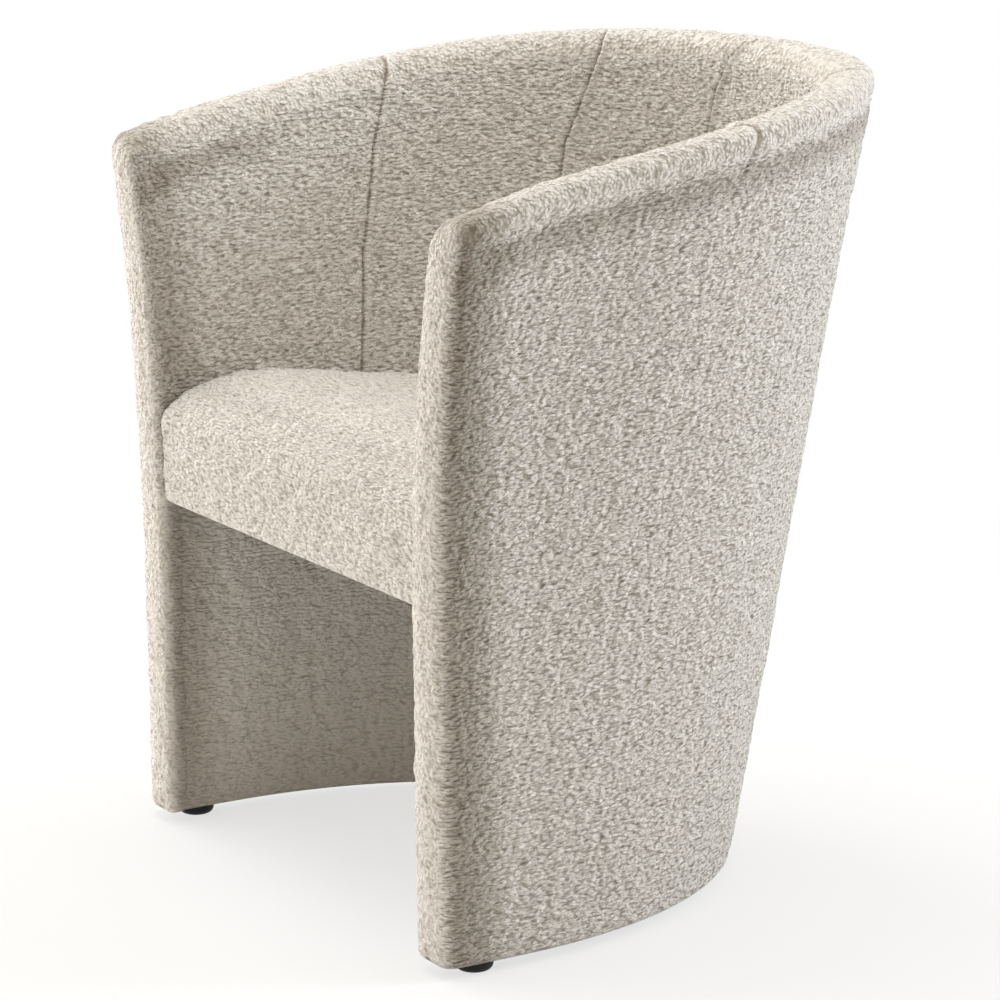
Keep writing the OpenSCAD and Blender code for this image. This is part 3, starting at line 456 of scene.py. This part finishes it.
# %% Raise the pile
wall = both_sides(half_wall, (-1, 1, 1))
from_front = both_sides(along[[CLOSING_RINGS]] - along)
from_rim = both_sides(np.where((over > 0) & (over < 1), 0, rim_base - climb))
tufted = np.maximum(1 - ease(from_rim, -0.002, 0.012), 0.7*(1 - ease(from_front, 0.004, 0.020)))
wall_pile = pile_lumps(wall, 11)*(1 - 0.5*tufted) + TUFT_SHARE*tufted*lumps(wall, 0.0046, 14)
wall_pile *= 1 - 0.7*np.clip(calm, 0, 1)
above_hem = ease(wall[..., 2], HEM_Z + 0.001, HEM_Z + 0.010)
normal = facing(wall)
left_arm_outside = normal[half_count//2, HEM_COLUMNS:SIDE_ROWS, 0]
if left_arm_outside.mean() > 0:
    normal = -normal
stand = relief + above_hem*(PILE_STAND + PILE_LUMP*wall_pile
                            + SLACK*lumps(wall, (0.09, 0.09, 0.07), 13))
wall = wall + normal*stand[..., None]
print("cloth moved", round(float(stand.min())*1000, 2), "to",
      round(float(stand.max())*1000, 2), "mm")

# %% [markdown]
# ### The wall as one body
#
# Inside the cloth's skin lies a second, plainer one that faces inwards and leaves room for the
# carcass, so the piece is a hollow body of foam and cloth. It also carries the numbers that its
# material reads: painted shade and highlight along the darts, a band of painted shade behind the
# edges, and where the cloth is lumpy, tufted or flattened.

# %% Wall mesh
PADDING_D, PADDING_BASE = 0.0079, 0.01572
INNER_ARM_STEPS, INNER_CURVE_STEPS, INNER_ROWS = 6, 40, 30

ring_total = len(wall)
faces = skin_faces(ring_total, ring_count)
points = wall.reshape(-1, 3)
if volume(points, faces) < 0:
    faces = faces[:, ::-1]
ring_of_face = faces.min(axis=1)//ring_count, faces.max(axis=1)//ring_count
on_front = (ring_of_face[0] < CLOSING_RINGS) | (ring_of_face[1] >= ring_total - CLOSING_RINGS)
corner_uv = np.where(on_front[:, None, None], front_uv.reshape(-1, 2)[faces],
                     wall_uv.reshape(-1, 2)[faces])

inner_curve = np.linspace(0, 1, INNER_CURVE_STEPS + 1)[1:]
hollow_half = wall_skin(stations(PADDING_D, INNER_ARM_STEPS, inner_curve), PADDING_D, PADDING_BASE,
                        0.0, INNER_ROWS)[0]
hollow = both_sides(hollow_half, (-1, 1, 1))
hollow_points = hollow.reshape(-1, 3)
hollow_faces = skin_faces(*hollow.shape[:2])
if volume(hollow_points, hollow_faces) > 0:
    hollow_faces = hollow_faces[:, ::-1]

below_rim = line_both - height_both
# Painted shade: a darker band behind the arm fronts and below the rim, weaker inside.
painted_edge_shade = (ease(from_front, 0.012, 0.026)*(1 - ease(from_front, 0.032, 0.085))*(1 - 0.3*is_inner)
       + 0.6*ease(below_rim, 0.010, 0.020)*(1 - ease(below_rim, 0.024, 0.055))
       * ease(from_front, 0.010, 0.026)*(1 - is_inner*ease(from_front, 0.12, 0.22)))
flattened = is_inner*(1 - ease(height_both, SEAT_EDGE_H - 0.110, SEAT_EDGE_H - 0.090))
pile_values = {"crease": crease_shade, "painted_edge_shade": painted_edge_shade, "lump": wall_pile, "tufted": tufted,
               "flattened": flattened}
none = np.zeros(len(hollow_points))
tub_wall = make_piece(
    "tub_wall", np.concatenate([points, hollow_points]),
    np.concatenate([faces, hollow_faces + len(points)]),
    np.concatenate([corner_uv, np.zeros((len(hollow_faces), 4, 2))]),
    **{key: np.concatenate([values.ravel(), none]) for key, values in pile_values.items()})
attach(tub_wall, "root")
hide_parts("wall_cover", "dart_seams", "wall_padding_left", "wall_padding_back",
            "wall_padding_right")
print("tub_wall", len(faces), "faces, cloth and padding",
      round((volume(points, faces) + volume(hollow_points, hollow_faces))*1000, 2), "litres")

# %% [markdown]
# ## The seat
#
# The seat is a sprung frame with a foam slab, wrapped in the same cloth. It is crowned across,
# slopes down to the back, and its front edge is a deep roll that ends in a small lip below the
# frame. A closed block of that shape is worked out first, a little flatter than the finished
# seat. Rings carried round the plan follow the wall's inner face, which a bevelled box wouldn't.

# %% Shape of the seat
SEAT_LOW, SEAT_BACKSET, SEAT_GAP = 0.3249, 0.004, 0.0016
FRONT_LIP, LIP_FROM, LIP_DEEP = 0.0040, 0.006, 0.022
SEAT_CORNER_R, SEAT_SIDE_R, SEAT_CROWN = 0.007, 0.014, 0.007
ROLL_DEEP, ROLL_HIGH = 0.095, 0.040
TOP_Y = (-0.28, -0.18, -0.13, -0.10, -0.04, 0.01, 0.10, 0.20)
TOP_Z = (0.4385, 0.4385, 0.4345, 0.4290, 0.4222, 0.4150, 0.4080, 0.4040)
FRONT_PTS, CORNER_PTS, ARM_PTS, CURVE_PTS = 24, 8, 20, 60
SEAT_UPPER, UNDER_INSET, SIDE_R, SEAT_SIDE_RINGS = 0.41, 0.003, 0.003, 9
UNDER_SHARES = (0.02, 0.5, 0.93, 1)
TOP_SHARES = (0.003, 0.01, 0.02, 0.035, 0.055, 0.08, 0.11, 0.16, 0.23, 0.32, 0.45, 0.6, 0.8, 0.98)


def quarter_round(distance, deep, high):
    """How far a rolled edge has dropped, a distance in from its side: a quarter of an ellipse."""
    rest = np.clip(1 - distance/deep, 0, 1)
    return high*(1 - np.sqrt(1 - rest**2))


def seat_outline(inset, z):
    """Right half of the seat's outline at the height z, drawn in by inset: straight along the
    front, round the corner, and along the wall's inner face to the middle of the back."""
    r, deep = SEAT_CORNER_R, WALL_T + SEAT_GAP + inset
    y = SEAT_BACKSET + inset
    k = np.arange(FRONT_PTS + CORNER_PTS + ARM_PTS + CURVE_PTS)
    start = (y + r)/arm_run(z)
    arm_share = np.clip((k - FRONT_PTS - CORNER_PTS)/ARM_PTS, 0, 1)
    curve_share = np.clip((k - FRONT_PTS - CORNER_PTS - ARM_PTS + 1)/CURVE_PTS, 0, 1)
    along_wall = wall_point(start + arm_share*(1 - start) + curve_share, z, deep)
    corner_x = wall_point(start, z, deep)[..., 0]
    turn = np.pi/2*np.clip((k - FRONT_PTS)/CORNER_PTS, 0, 1)
    x = np.where(k < FRONT_PTS, (corner_x - r)*k/FRONT_PTS, corner_x - r + r*np.sin(turn))
    front_y = front_edge(z) + y + r - r*np.cos(turn)
    front_part = np.stack(np.broadcast_arrays(x, front_y, z), axis=-1)
    return np.where((k < FRONT_PTS + CORNER_PTS)[:, None], front_part, along_wall)


def seat_top(x, y):
    """Height of the seat's top. It is highest a hand's breadth behind the front, slopes back from
    there, is crowned across by a parabola, and rolls off at the front and beside the wall."""
    half = half_width(SEAT_EDGE_H) - narrowing(SEAT_EDGE_H)*0.7 - WALL_T - SEAT_GAP
    bend_y, bend_d = front_edge(SEAT_EDGE_H) + arm_run(SEAT_EDGE_H), CURVE_D - WALL_T - SEAT_GAP
    across, lengthways = np.abs(x)/half, np.clip((y - bend_y)/bend_d, 0, None)
    reach = (across**CURVE_POWER + lengthways**CURVE_POWER)**(1/CURVE_POWER)
    from_side = np.clip(1 - reach, 0, None)*half
    from_front = np.clip(y - front_edge(SEAT_EDGE_H) - SEAT_BACKSET, 0, None)
    crown = SEAT_CROWN*np.clip(1 - reach**2, 0, None)
    return (np.interp(y, TOP_Y, TOP_Z) + crown - quarter_round(from_side, SEAT_SIDE_R, SEAT_SIDE_R)
            - quarter_round(from_front, ROLL_DEEP, ROLL_HIGH))


def closed_ring(half):
    """The right half of an outline and its mirror image, as one ring."""
    return np.concatenate([half, (half*(-1, 1, 1))[-2:0:-1]])


def seat_block():
    """Closed block of the seat as rings: out under it, up its sides, and in over its top."""
    under = closed_ring(seat_outline(UNDER_INSET, SEAT_LOW))
    upper = closed_ring(seat_outline(0.0, SEAT_UPPER))
    low = closed_ring(seat_outline(0.0, SEAT_LOW + SIDE_R))
    middle = np.array([0, upper[:, 1].mean(), 0])
    rings = [np.where((0, 0, 1), under, middle + (under - middle)*s) for s in UNDER_SHARES]
    edge = upper.copy()
    edge[:, 2] = seat_top(*upper[:, :2].T)
    for ring in (rings[2], rings[3], low):
        behind = ring[:, 1] - front_edge(SEAT_LOW) - SEAT_BACKSET
        ring[:, 2] -= FRONT_LIP*(1 - ease(behind, LIP_FROM, LIP_DEEP))
    rings += [low + (edge - low)*s for s in np.linspace(0, 1, SEAT_SIDE_RINGS)]
    for s in TOP_SHARES:
        ring = edge + (middle - edge)*s
        ring[:, 2] = seat_top(*ring[:, :2].T)
        rings.append(ring)
    return np.array(rings)


seat_points, tris = capped_rings(seat_block())
print("seat block", round(volume(seat_points, tris)*1000, 2), "litres")

# %% [markdown]
# ### Swelling
#
# A stretched cover bulges a little between the places where it is held. So the block is turned
# into an even skin of small squares, and a cloth simulation blows it up. A sculpted bulge would
# do too, but the simulation finds by itself where the cover is free.

# %% Swell the seat
VOXEL, SWELL_CAP = 0.005, 0.005
PRESSURE, FRAMES = 4, 20


def coordinates(mesh):
    """Points of a mesh as an array."""
    co = np.empty(len(mesh.vertices)*3, np.float32)
    mesh.vertices.foreach_get("co", co)
    return co.reshape(-1, 3).astype(float)


def move_points(mesh, points):
    """Puts a mesh's points at new places."""
    mesh.vertices.foreach_set("co", points.astype(np.float32).ravel())
    mesh.update()


def as_built(piece):
    """Mesh of an object with its modifiers applied."""
    depsgraph = bpy.context.evaluated_depsgraph_get()
    return bpy.data.meshes.new_from_object(piece.evaluated_get(depsgraph))


def refine(piece, kind, **settings):
    """Puts one modifier on an object and applies it at once."""
    modifier = piece.modifiers.new(kind, kind)
    for key, value in settings.items():
        setattr(modifier, key, value)
    mesh = as_built(piece)
    piece.modifiers.clear()
    piece.data = mesh


seat = make_piece("seat_cushion", seat_points, tris)
refine(seat, "REMESH", mode="VOXEL", voxel_size=VOXEL, use_smooth_shade=True)
still = coordinates(seat.data)
swelling = seat.modifiers.new("swell", "CLOTH")
swelling.settings.use_pressure = True
swelling.settings.uniform_pressure_force = PRESSURE
swelling.settings.effector_weights.gravity = 0
for f in range(1, FRAMES + 1):
    bpy.context.scene.frame_set(f)
swollen = coordinates(as_built(seat))
seat.modifiers.clear()
bpy.context.scene.frame_set(1)
move = swollen - still
print("swelling reached", round(float(np.linalg.norm(move, axis=1).max())*1000, 1), "mm")

# %% [markdown]
# ### Held by the arms and the frame
#
# The simulated block is free on all sides, but the real cover is held between the arms and
# stapled under the frame. So the move is cut to a few millimetres, fades out beside the arms and
# below, and at the front only its outward part is kept.

# %% Keep what the swelling gives
FRONT_FROM, FRONT_TO = 0.020, 0.055
TOP_FROM, TOP_TO = -0.012, -0.003
SIDEWAYS, HELD_FROM, HELD_TO = 0.4, 0.004, 0.03


def seat_sides(points):
    """How far each point belongs to the front, and how far it shows at the top or the front."""
    x, y, z = points.T
    y_front = front_edge(z) + SEAT_BACKSET
    front = 1 - ease(y - y_front, FRONT_FROM, FRONT_TO)
    top = ease(z - seat_top(x, y), TOP_FROM, TOP_TO)
    return front, np.maximum(front, top)*ease(z, SEAT_LOW - FRONT_LIP*front, SEAT_LOW + 0.006)


move *= np.minimum(1, SWELL_CAP/np.maximum(np.linalg.norm(move, axis=1), 1e-9))[:, None]
front, showing = seat_sides(still)
from_arm = float(half_width(SEAT_EDGE_H)) - WALL_T - np.abs(still[:, 0])
move[:, 1] = np.minimum(move[:, 1], 0)
move[:, 2] *= np.where(move[:, 2] > 0, 1, 1 - front)
kept = np.stack([SIDEWAYS*ease(from_arm, HELD_FROM, HELD_TO), front, np.ones_like(front)], axis=-1)
move *= showing[:, None]*kept
print("seat moved on average",
      [round(float(v)*1000, 2) for v in move[showing > 0.5].mean(axis=0)], "mm")
move_points(seat.data, still + move)
refine(seat, "SUBSURF", levels=1, render_levels=1)

# %% [markdown]
# ### The seat's pile
#
# The seat gets the wall's lumps. Its map runs level over the top and on down the front.

# %% Raise the pile of the seat
SEAT_STAND, SEAT_LUMP, PRESSED, FLARE = 0.0002, 0.9, 0.4, 0.3
FRONT_ROWS_H = 0.445

skin = coordinates(seat.data)
normals = np.empty(len(skin)*3, np.float32)
seat.data.vertices.foreach_get("normal", normals)
front, showing = seat_sides(skin)
seat_pile = pile_lumps(skin, 21)
stand = showing*(SEAT_STAND + SEAT_LUMP*PILE_LUMP*seat_pile
                 + SLACK*lumps(skin, (0.08, 0.08, 0.06), 23))
below = np.clip(FRONT_ROWS_H - skin[:, 2], 0, None)
seat_uv = np.stack([skin[:, 0] + np.sign(skin[:, 0])*(1 - front)*FLARE*below,
                    skin[:, 1] - front*below], axis=-1)
move_points(seat.data, skin + normals.reshape(-1, 3)*stand[:, None])
corner = np.empty(len(seat.data.loops), np.int32)
seat.data.loops.foreach_get("vertex_index", corner)
seat.data.uv_layers.new(name="cloth").data.foreach_set(
    "uv", seat_uv[corner].astype(np.float32).ravel())
seat.data.polygons.foreach_set("use_smooth", np.ones(len(seat.data.polygons), bool))
point_value(seat.data, "lump", seat_pile)
point_value(seat.data, "flattened", np.full(len(skin), PRESSED))
seat.data.update()
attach(seat, "root")
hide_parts("seat_cover", "seat_foam", "seat_front_pad")
print("seat_cushion", len(seat.data.polygons), "faces")

# %% [markdown]
# ### The dust cover
#
# A thin black cloth is stapled under the seat and hides the webbing. It is stretched flat, so it
# is made as a thin sheet: its outline stands a little inside the seat's, and its middle sags by a
# millimetre or so.

# %% Dust cover
LINING_Z, LINING_T, LINING_INSET, LINING_SAG = 0.3229, 0.0008, 0.009, 0.0015
LINING_RINGS = 16

outline = closed_ring(seat_outline(LINING_INSET, LINING_Z))
centre = np.array([0, outline[:, 1].mean(), LINING_Z])
spread = np.linspace(1, 0.02, LINING_RINGS)[:, None, None]
lower = centre + (outline - centre)*spread
lower[..., 2] -= LINING_SAG*(1 - spread[..., 0]**2)
sheet_points, sheet_tris = capped_rings(np.concatenate([lower[::-1], lower + (0, 0, LINING_T)]))
lining = make_piece("dust_cover", sheet_points, sheet_tris)
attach(lining, "root")
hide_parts("seat_dust_cover")

# %% [markdown]
# ## Materials
#
# A material is a small network of nodes. Written node by node it is long and hard to read, so one
# class wraps a node's socket and lets Python's own signs add the maths nodes.

# %% Shader helper
class Socket:
    """An output socket in a material, with arithmetic."""

    def __init__(self, tree, socket):
        self.tree, self.socket = tree, socket

    def node(self, kind, settings=None, values=None, out=0):
        """Adds a node. Settings are set first, then each value or link goes to its socket."""
        new = self.tree.nodes.new(kind)
        for key, value in (settings or {}).items():
            setattr(new, key, value)
        for key, value in (values or {}).items():
            if isinstance(value, Socket):
                self.tree.links.new(value.socket, new.inputs[key])
            else:
                new.inputs[key].default_value = value
        return Socket(self.tree, new.outputs[out])

    def maths(self, operation, a, b=0.0):
        return self.node("ShaderNodeMath", {"operation": operation}, {0: a, 1: b})

    def __add__(self, other): return self.maths("ADD", self, other)
    def __sub__(self, other): return self.maths("SUBTRACT", self, other)
    def __rsub__(self, other): return self.maths("SUBTRACT", other, self)
    def __mul__(self, other): return self.maths("MULTIPLY", self, other)

    def between(self, low, high, to_low=0.0, to_high=1.0):
        """This number from low to high, carried smoothly to the range to_low to to_high."""
        return self.node("ShaderNodeMapRange", {"interpolation_type": "SMOOTHSTEP"},
                         {"Value": self, "From Min": low, "From Max": high,
                          "To Min": to_low, "To Max": to_high})

    def vector(self, operation, other):
        """Vector maths with another vector or three numbers."""
        return self.node("ShaderNodeVectorMath", {"operation": operation}, {0: self, 1: other})

    def noise(self, scale, detail=2.0, rough=0.5, out=0):
        """Smooth noise at this place, with that many lumps per metre."""
        return self.node("ShaderNodeTexNoise", None, {
            "Vector": self, "Scale": scale, "Detail": detail, "Roughness": rough}, out)

    def colour(self, low, high):
        """The colour between low and high that this number picks."""
        return self.node("ShaderNodeMix", {"data_type": "RGBA"}, {
            0: self, 6: low if isinstance(low, Socket) else (*low, 1),
            7: high if isinstance(high, Socket) else (*high, 1)}, out=2)

    def shaded(self, strength, tint):
        """This colour multiplied by a tint, as strongly as the number strength says."""
        return self.node("ShaderNodeMix", {"data_type": "RGBA", "blend_type": "MULTIPLY"},
                         {0: strength, 6: self, 7: (*tint, 1)}, out=2)


def material(name, rough, **constants):
    """A new Principled material. Gives the material, the place in space as a socket, and the
    shader's node."""
    made = bpy.data.materials.new(name)
    made.use_nodes = True
    shader = made.node_tree.nodes["Principled BSDF"]
    shader.inputs["Roughness"].default_value = rough
    for key, value in constants.items():
        shader.inputs[key.replace("_", " ")].default_value = value
    return made, Socket(made.node_tree, None).node("ShaderNodeTexCoord", out=3), shader


def finish_material(place, shader, colour, height, depth):
    """Feeds the colour, and a bump whose height 0 to 1 stands for that depth in metres."""
    place.tree.links.new(colour.socket, shader.inputs["Base Color"])
    bump = place.node("ShaderNodeBump", None, {"Height": height, "Distance": depth,
                                               "Strength": 1.0})
    place.tree.links.new(bump.socket, shader.inputs["Normal"])


# %% [markdown]
# ### The curled pile
#
# From close by, the cloth is a mass of short loops lying side by side in rows about 4 mm apart,
# with short dark gaps between the rows. Stretched cells of a Voronoi pattern make the loops, a
# slow noise pushes them about so that the rows wander, flat noises draw the rows and their gaps,
# and a very fine one roughens the yarn. The dark of the gaps and hollows is painted shadow in the
# colour, because a bump catches no shadow. The numbers that the wall and the seat carry change
# the pile from place to place: tufts on the rim and edges, a band of painted shade behind the
# edges, pressed flat where it is sat on and under the seat, and painted shade along the creases
# with a painted highlight on the welts.

# %% Pile cloth
LOOP_L, LOOP_W, TUFT, PILE_BUMP = 0.0070, 0.0040, 0.0037, 0.0048
PILE_DARK, PILE_LIGHT = (0.55, 0.51, 0.455), (0.89, 0.86, 0.815)


def pile_cloth():
    """Cream curled pile. A noise as coarse as the loops opens hollows between them, and the
    weighted sum of loops, hollows and rows is both the height and the shade. Where the cloth is
    bent and its tufts stand apart, round cells and blobs in space take over from the rows."""
    made, in_space, shader = material("curled_pile", 0.92, Sheen_Weight=0.3, Sheen_Roughness=0.5,
                                      Specular_IOR_Level=0.15)
    cloth = in_space.node("ShaderNodeUVMap", {"uv_map": "cloth"})
    drift = cloth.noise(70, 1.0, out=1).vector("SUBTRACT", (0.5, 0.5, 0.5))
    place = cloth.vector("ADD", drift.vector("MULTIPLY", (0.0025, 0.0025, 0)))
    cells = {"Vector": place.vector("MULTIPLY", (1/LOOP_L, 1/LOOP_W, 1)), "Scale": 1.0,
             "Randomness": 0.85}
    loop = cloth.node("ShaderNodeTexVoronoi", {"voronoi_dimensions": "2D"}, cells)
    loop = loop.between(0.75, 0.1)
    hollow = place.vector("MULTIPLY", (110, 175, 1)).noise(1.0, 0.0).between(0.36, 0.60)
    rows = place.vector("MULTIPLY", (135, 390, 1)).noise(1.0, 1.0).between(0.38, 0.56)
    gap = place.vector("MULTIPLY", (120, 400, 1)).noise(1.0, 0.4).between(0.44, 0.34)
    tuft = in_space.node("ShaderNodeTexVoronoi", None, {
        "Vector": in_space, "Scale": 1/TUFT, "Randomness": 1.0}).between(0.80, 0.15)
    blob = in_space.noise(170, 1.0).between(0.35, 0.65)
    fibre = in_space.noise(900, 2.0, 0.7)
    lump, crease, painted_edge_shade, tufted, flattened = (
        cloth.node("ShaderNodeAttribute", {"attribute_name": key}, out=2)
        for key in ("lump", "crease", "painted_edge_shade", "tufted", "flattened"))

    flat = (loop*0.43 + hollow*0.20 + rows*0.37)*(1 - flattened*0.6) + flattened*0.24
    height = flat*(1 - tufted) + (tuft*0.34 + blob*0.22 + 0.09)*tufted
    # Painted shade: hollows between the lumps and the creases come out darker, the welts lighter.
    light = height + fibre*0.12 + lump*(tufted*0.12 + 0.10) - crease*0.35
    colour = light.between(0.14, 0.58).colour(PILE_DARK, PILE_LIGHT)
    colour = colour.shaded(gap*(1 - tufted)*(1 - flattened)*0.85, (0.60, 0.57, 0.53))
    tan = in_space.noise(38, 2.0, 0.6).between(0.52, 0.75)
    colour = colour.shaded(tan*0.3, (0.97, 0.925, 0.86))
    # Painted shade: the darker band behind the arm fronts and below the rim.
    colour = colour.shaded(painted_edge_shade, (0.52, 0.485, 0.44))
    # Painted shade along the creases of the darts, then a painted highlight on the welts.
    colour = colour.shaded(crease*0.7, (0.47, 0.40, 0.32))
    colour = (crease*-0.6).colour(colour, (0.95, 0.92, 0.87))
    finish_material(in_space, shader, colour, height + fibre*0.05, PILE_BUMP)
    return made


curled_pile = pile_cloth()
for piece in (tub_wall, seat):
    piece.data.materials.clear()
    piece.data.materials.append(curled_pile)
print("pile loops", LOOP_L*1000, "by", LOOP_W*1000, "mm")

# %% [markdown]
# ### What is under the cloth
#
# Most of the carcass never shows, but the model can be taken apart, so each hidden part has its
# own finish too: raw pine with long grain, birch plywood with its plies, dark hardboard, woven
# webbing, felt, black lining, zinc-plated steel and moulded plastic. The patterns are fixed to
# the chair in space, which suits straight boards better than a map would.

# %% Finishes of the carcass
TWO_PLIES = 0.003


def grain_wood(name, pale, dark, stretch, rough):
    """Sawn wood: noise drawn out along the boards gives the grain, and a finer one pores."""
    made, place, shader = material(name, rough)
    place = place.vector("MULTIPLY", stretch)
    figure = place.noise(14, 4.0, 0.6).between(0.35, 0.65)
    pores = place.noise(160, 2.0)
    colour = figure.colour(pale, dark).shaded(pores*0.35, (0.72, 0.62, 0.5))
    finish_material(place, shader, colour, pores, 0.0003)
    return made


def plies(name):
    """Birch plywood: bands of height, 1.5 mm each, turn light and dark by a wave, and the faces
    show a faint long grain."""
    made, place, shader = material(name, 0.6)
    level = place.node("ShaderNodeSeparateXYZ", None, {0: place}, out=2)*(2*math.pi/TWO_PLIES)
    band = level.maths("SINE", level).between(-0.3, 0.3)
    figure = place.vector("MULTIPLY", (1, 8, 1)).noise(20, 3.0)
    colour = (band*0.6 + figure*0.4).colour((0.66, 0.50, 0.31), (0.50, 0.35, 0.20))
    finish_material(place, shader, colour, figure, 0.0002)
    return made


def speckled(name, low, high, scale, rough, depth, detail=3.0, **constants):
    """A surface of small grains: fibres, cast skin or plated crystals, as its scale says."""
    made, place, shader = material(name, rough, **constants)
    grains = place.noise(scale, detail, 0.65)
    finish_material(place, shader, grains.between(0.3, 0.7).colour(low, high), grains, depth)
    return made


def woven(name, low, high, pitch, rough, depth):
    """A plain weave: two waves across each other, one along x and one along y, with a fine noise
    for the yarn."""
    made, place, shader = material(name, rough)
    waves = []
    for axis in (0, 1):
        part = place.node("ShaderNodeSeparateXYZ", None, {0: place}, out=axis)*(2*math.pi/pitch)
        waves.append(part.maths("SINE", part))
    weave = (waves[0]*waves[1]).between(-0.8, 0.8)
    yarn = place.noise(1400, 2.0)
    colour = (weave*0.7 + yarn*0.3).colour(low, high)
    finish_material(place, shader, colour, weave, depth)
    return made


FINISHES = {
    "plywood": plies("birch_plywood"),
    "pine": grain_wood("raw_pine", (0.76, 0.57, 0.34), (0.60, 0.40, 0.20), (6, 6, 1), 0.65),
    "hardboard": speckled("pressed_hardboard", (0.18, 0.095, 0.045), (0.27, 0.155, 0.08), 420,
                          0.55, 0.0002),
    "felt": speckled("pressed_felt", (0.26, 0.25, 0.235), (0.46, 0.445, 0.42), 600, 0.95, 0.0006),
    "webbing": woven("elastic_webbing", (0.05, 0.047, 0.04), (0.17, 0.16, 0.145), 0.004, 0.8,
                     0.0005),
    "lining": woven("black_lining", (0.010, 0.010, 0.012), (0.040, 0.040, 0.043), 0.0022, 0.85,
                    0.0003),
    "zinc_steel": speckled("zinc_plate", (0.50, 0.51, 0.53), (0.68, 0.69, 0.70), 260, 0.34,
                           0.00005, Metallic=1.0),
    "black_plastic": speckled("moulded_plastic", (0.007, 0.007, 0.008), (0.014, 0.014, 0.016),
                              1500, 0.55, 0.00006, Specular_IOR_Level=0.25),
}
lining.data.materials.append(FINISHES["lining"])
slot_of = {part["node"]: part["material_slot"] for part in frame["record"]["subparts"]}
for name, node in frame["nodes"].items():
    if slot_of[name] in FINISHES:
        node.data.materials.clear()
        node.data.materials.append(FINISHES[slot_of[name]])
print("finishes", {slot: sum(v == slot for v in slot_of.values()) for slot in FINISHES})

# %% [markdown]
# ### Floor and background
#
# The chair stands on a pale studio floor, which keeps its shadow. Further out the floor fades into
# a pure white background. That white is made for the rays that show it alone, those from the
# camera and those that metal or glass pass on, so it adds no light to the chair.

# %% Floor and background
FLOOR_TURNS, NEAR_RINGS, FAR_RINGS = 96, 40, 20
AMBIENT, AMBIENT_TINT = 0.35, (1.0, 0.84, 0.655)


def studio_floor():
    """A disc of rings, close together near the chair, with a fan of quads in its middle."""
    radius = np.concatenate([np.linspace(0.02, 3, NEAR_RINGS), np.linspace(3.3, 14, FAR_RINGS)])
    turn = np.linspace(0, 2*np.pi, FLOOR_TURNS, endpoint=False)
    grid = np.stack([radius[:, None]*np.cos(turn), radius[:, None]*np.sin(turn),
                     0*radius[:, None]*turn], axis=-1)
    index = np.arange(grid[..., 0].size).reshape(grid.shape[:2])
    after = np.roll(index[0], -1)
    hub = np.stack([np.full(FLOOR_TURNS//2, index.size), index[0][0::2], index[0][1::2],
                    after[1::2]], axis=-1)
    floor = make_piece("studio_floor", np.concatenate([grid.reshape(-1, 3), [[0, 0, 0]]]),
                       np.concatenate([ring_quads(index)[:, [0, 3, 2, 1]], hub]))
    return floor


def seen_rays(tree):
    """1 for the rays that show the background, from the camera or passed on by metal or glass,
    and 0 for those that light the chair."""
    rays = tree.nodes.new("ShaderNodeLightPath")
    camera, glossy, through = (Socket(tree, rays.outputs[f"Is {kind} Ray"])
                               for kind in ("Camera", "Glossy", "Transmission"))
    seen = camera + glossy + through
    return seen.maths("MINIMUM", seen, 1.0)


floor = studio_floor()
made, place, shader = material("pale_floor", 0.9, Specular_IOR_Level=0.1)
tree = made.node_tree
away = place.node("ShaderNodeVectorMath", {"operation": "LENGTH"}, {0: place}, out=1)
shade = place.noise(3, 2.0).colour((0.86, 0.86, 0.855), (0.90, 0.90, 0.895))
tree.links.new(shade.socket, shader.inputs["Base Color"])
white = tree.nodes.new("ShaderNodeEmission")
blend = tree.nodes.new("ShaderNodeMixShader")
share = away.between(0.55, 1.5, 0.68, 1.0)*seen_rays(tree)
tree.links.new(share.socket, blend.inputs[0])
tree.links.new(shader.outputs[0], blend.inputs[1])
tree.links.new(white.outputs[0], blend.inputs[2])
tree.links.new(blend.outputs[0], tree.nodes["Material Output"].inputs[0])
floor.data.materials.append(made)

world = bpy.data.worlds.new("studio")
bpy.context.scene.world = world
world.use_nodes = True
seen = seen_rays(world.node_tree)
background = world.node_tree.nodes["Background"]
tint = seen.colour(AMBIENT_TINT, (1.0, 1.0, 1.0))
world.node_tree.links.new(tint.socket, background.inputs["Color"])
world.node_tree.links.new((seen*(1 - AMBIENT) + AMBIENT).socket, background.inputs["Strength"])
bpy.context.scene.view_settings.view_transform = "Standard"
print("floor", len(floor.data.polygons), "faces, ambient light", AMBIENT)

# %% [markdown]
# ### Lamps
#
# Five soft lamps light the chair, as large boxes of cloth do in a studio. Two in front and to the
# left light the seat and the inside of the back, one overhead lights the rim and the seat, and
# two cooler ones behind and to the right light the outer side of the near arm, which is a shade
# greyer. The weak light all round is warm, as it is in a room of pale wood and cream cloth. Their
# powers were fitted one lamp at a time.

# %% Lamps
LAMPS = (
    ("front_light", (-2.2, -2.6, 1.35), 1.8, 44, (1.0, 0.98, 0.955)),
    ("left_light", (-3.2, -0.9, 1.5), 1.8, 70, (1.0, 0.975, 0.95)),
    ("top_light", (-0.3, -0.3, 3.2), 2.0, 48, (1.0, 0.995, 0.985)),
    ("rear_light", (1.7, 3.1, 1.6), 1.3, 74, (0.86, 0.93, 1.0)),
    ("high_light", (1.5, 1.6, 2.9), 1.2, 16, (0.97, 0.98, 1.0)))
LOOK_AT = np.array([0, 0, 0.4])

for name, at, size, power, colour in LAMPS:
    light = bpy.data.lights.new(name, "AREA")
    light.shape, light.size, light.energy, light.color = "SQUARE", size, power, colour
    lamp = bpy.data.objects.new(name, light)
    bpy.context.scene.collection.objects.link(lamp)
    lamp.location = at
    back = np.array(at) - LOOK_AT
    lamp.rotation_euler = (math.atan2(math.hypot(back[0], back[1]), back[2]), 0,
                           math.atan2(back[1], back[0]) + math.pi/2)
print("lamps", len(LAMPS), "with", sum(lamp[3] for lamp in LAMPS), "W")
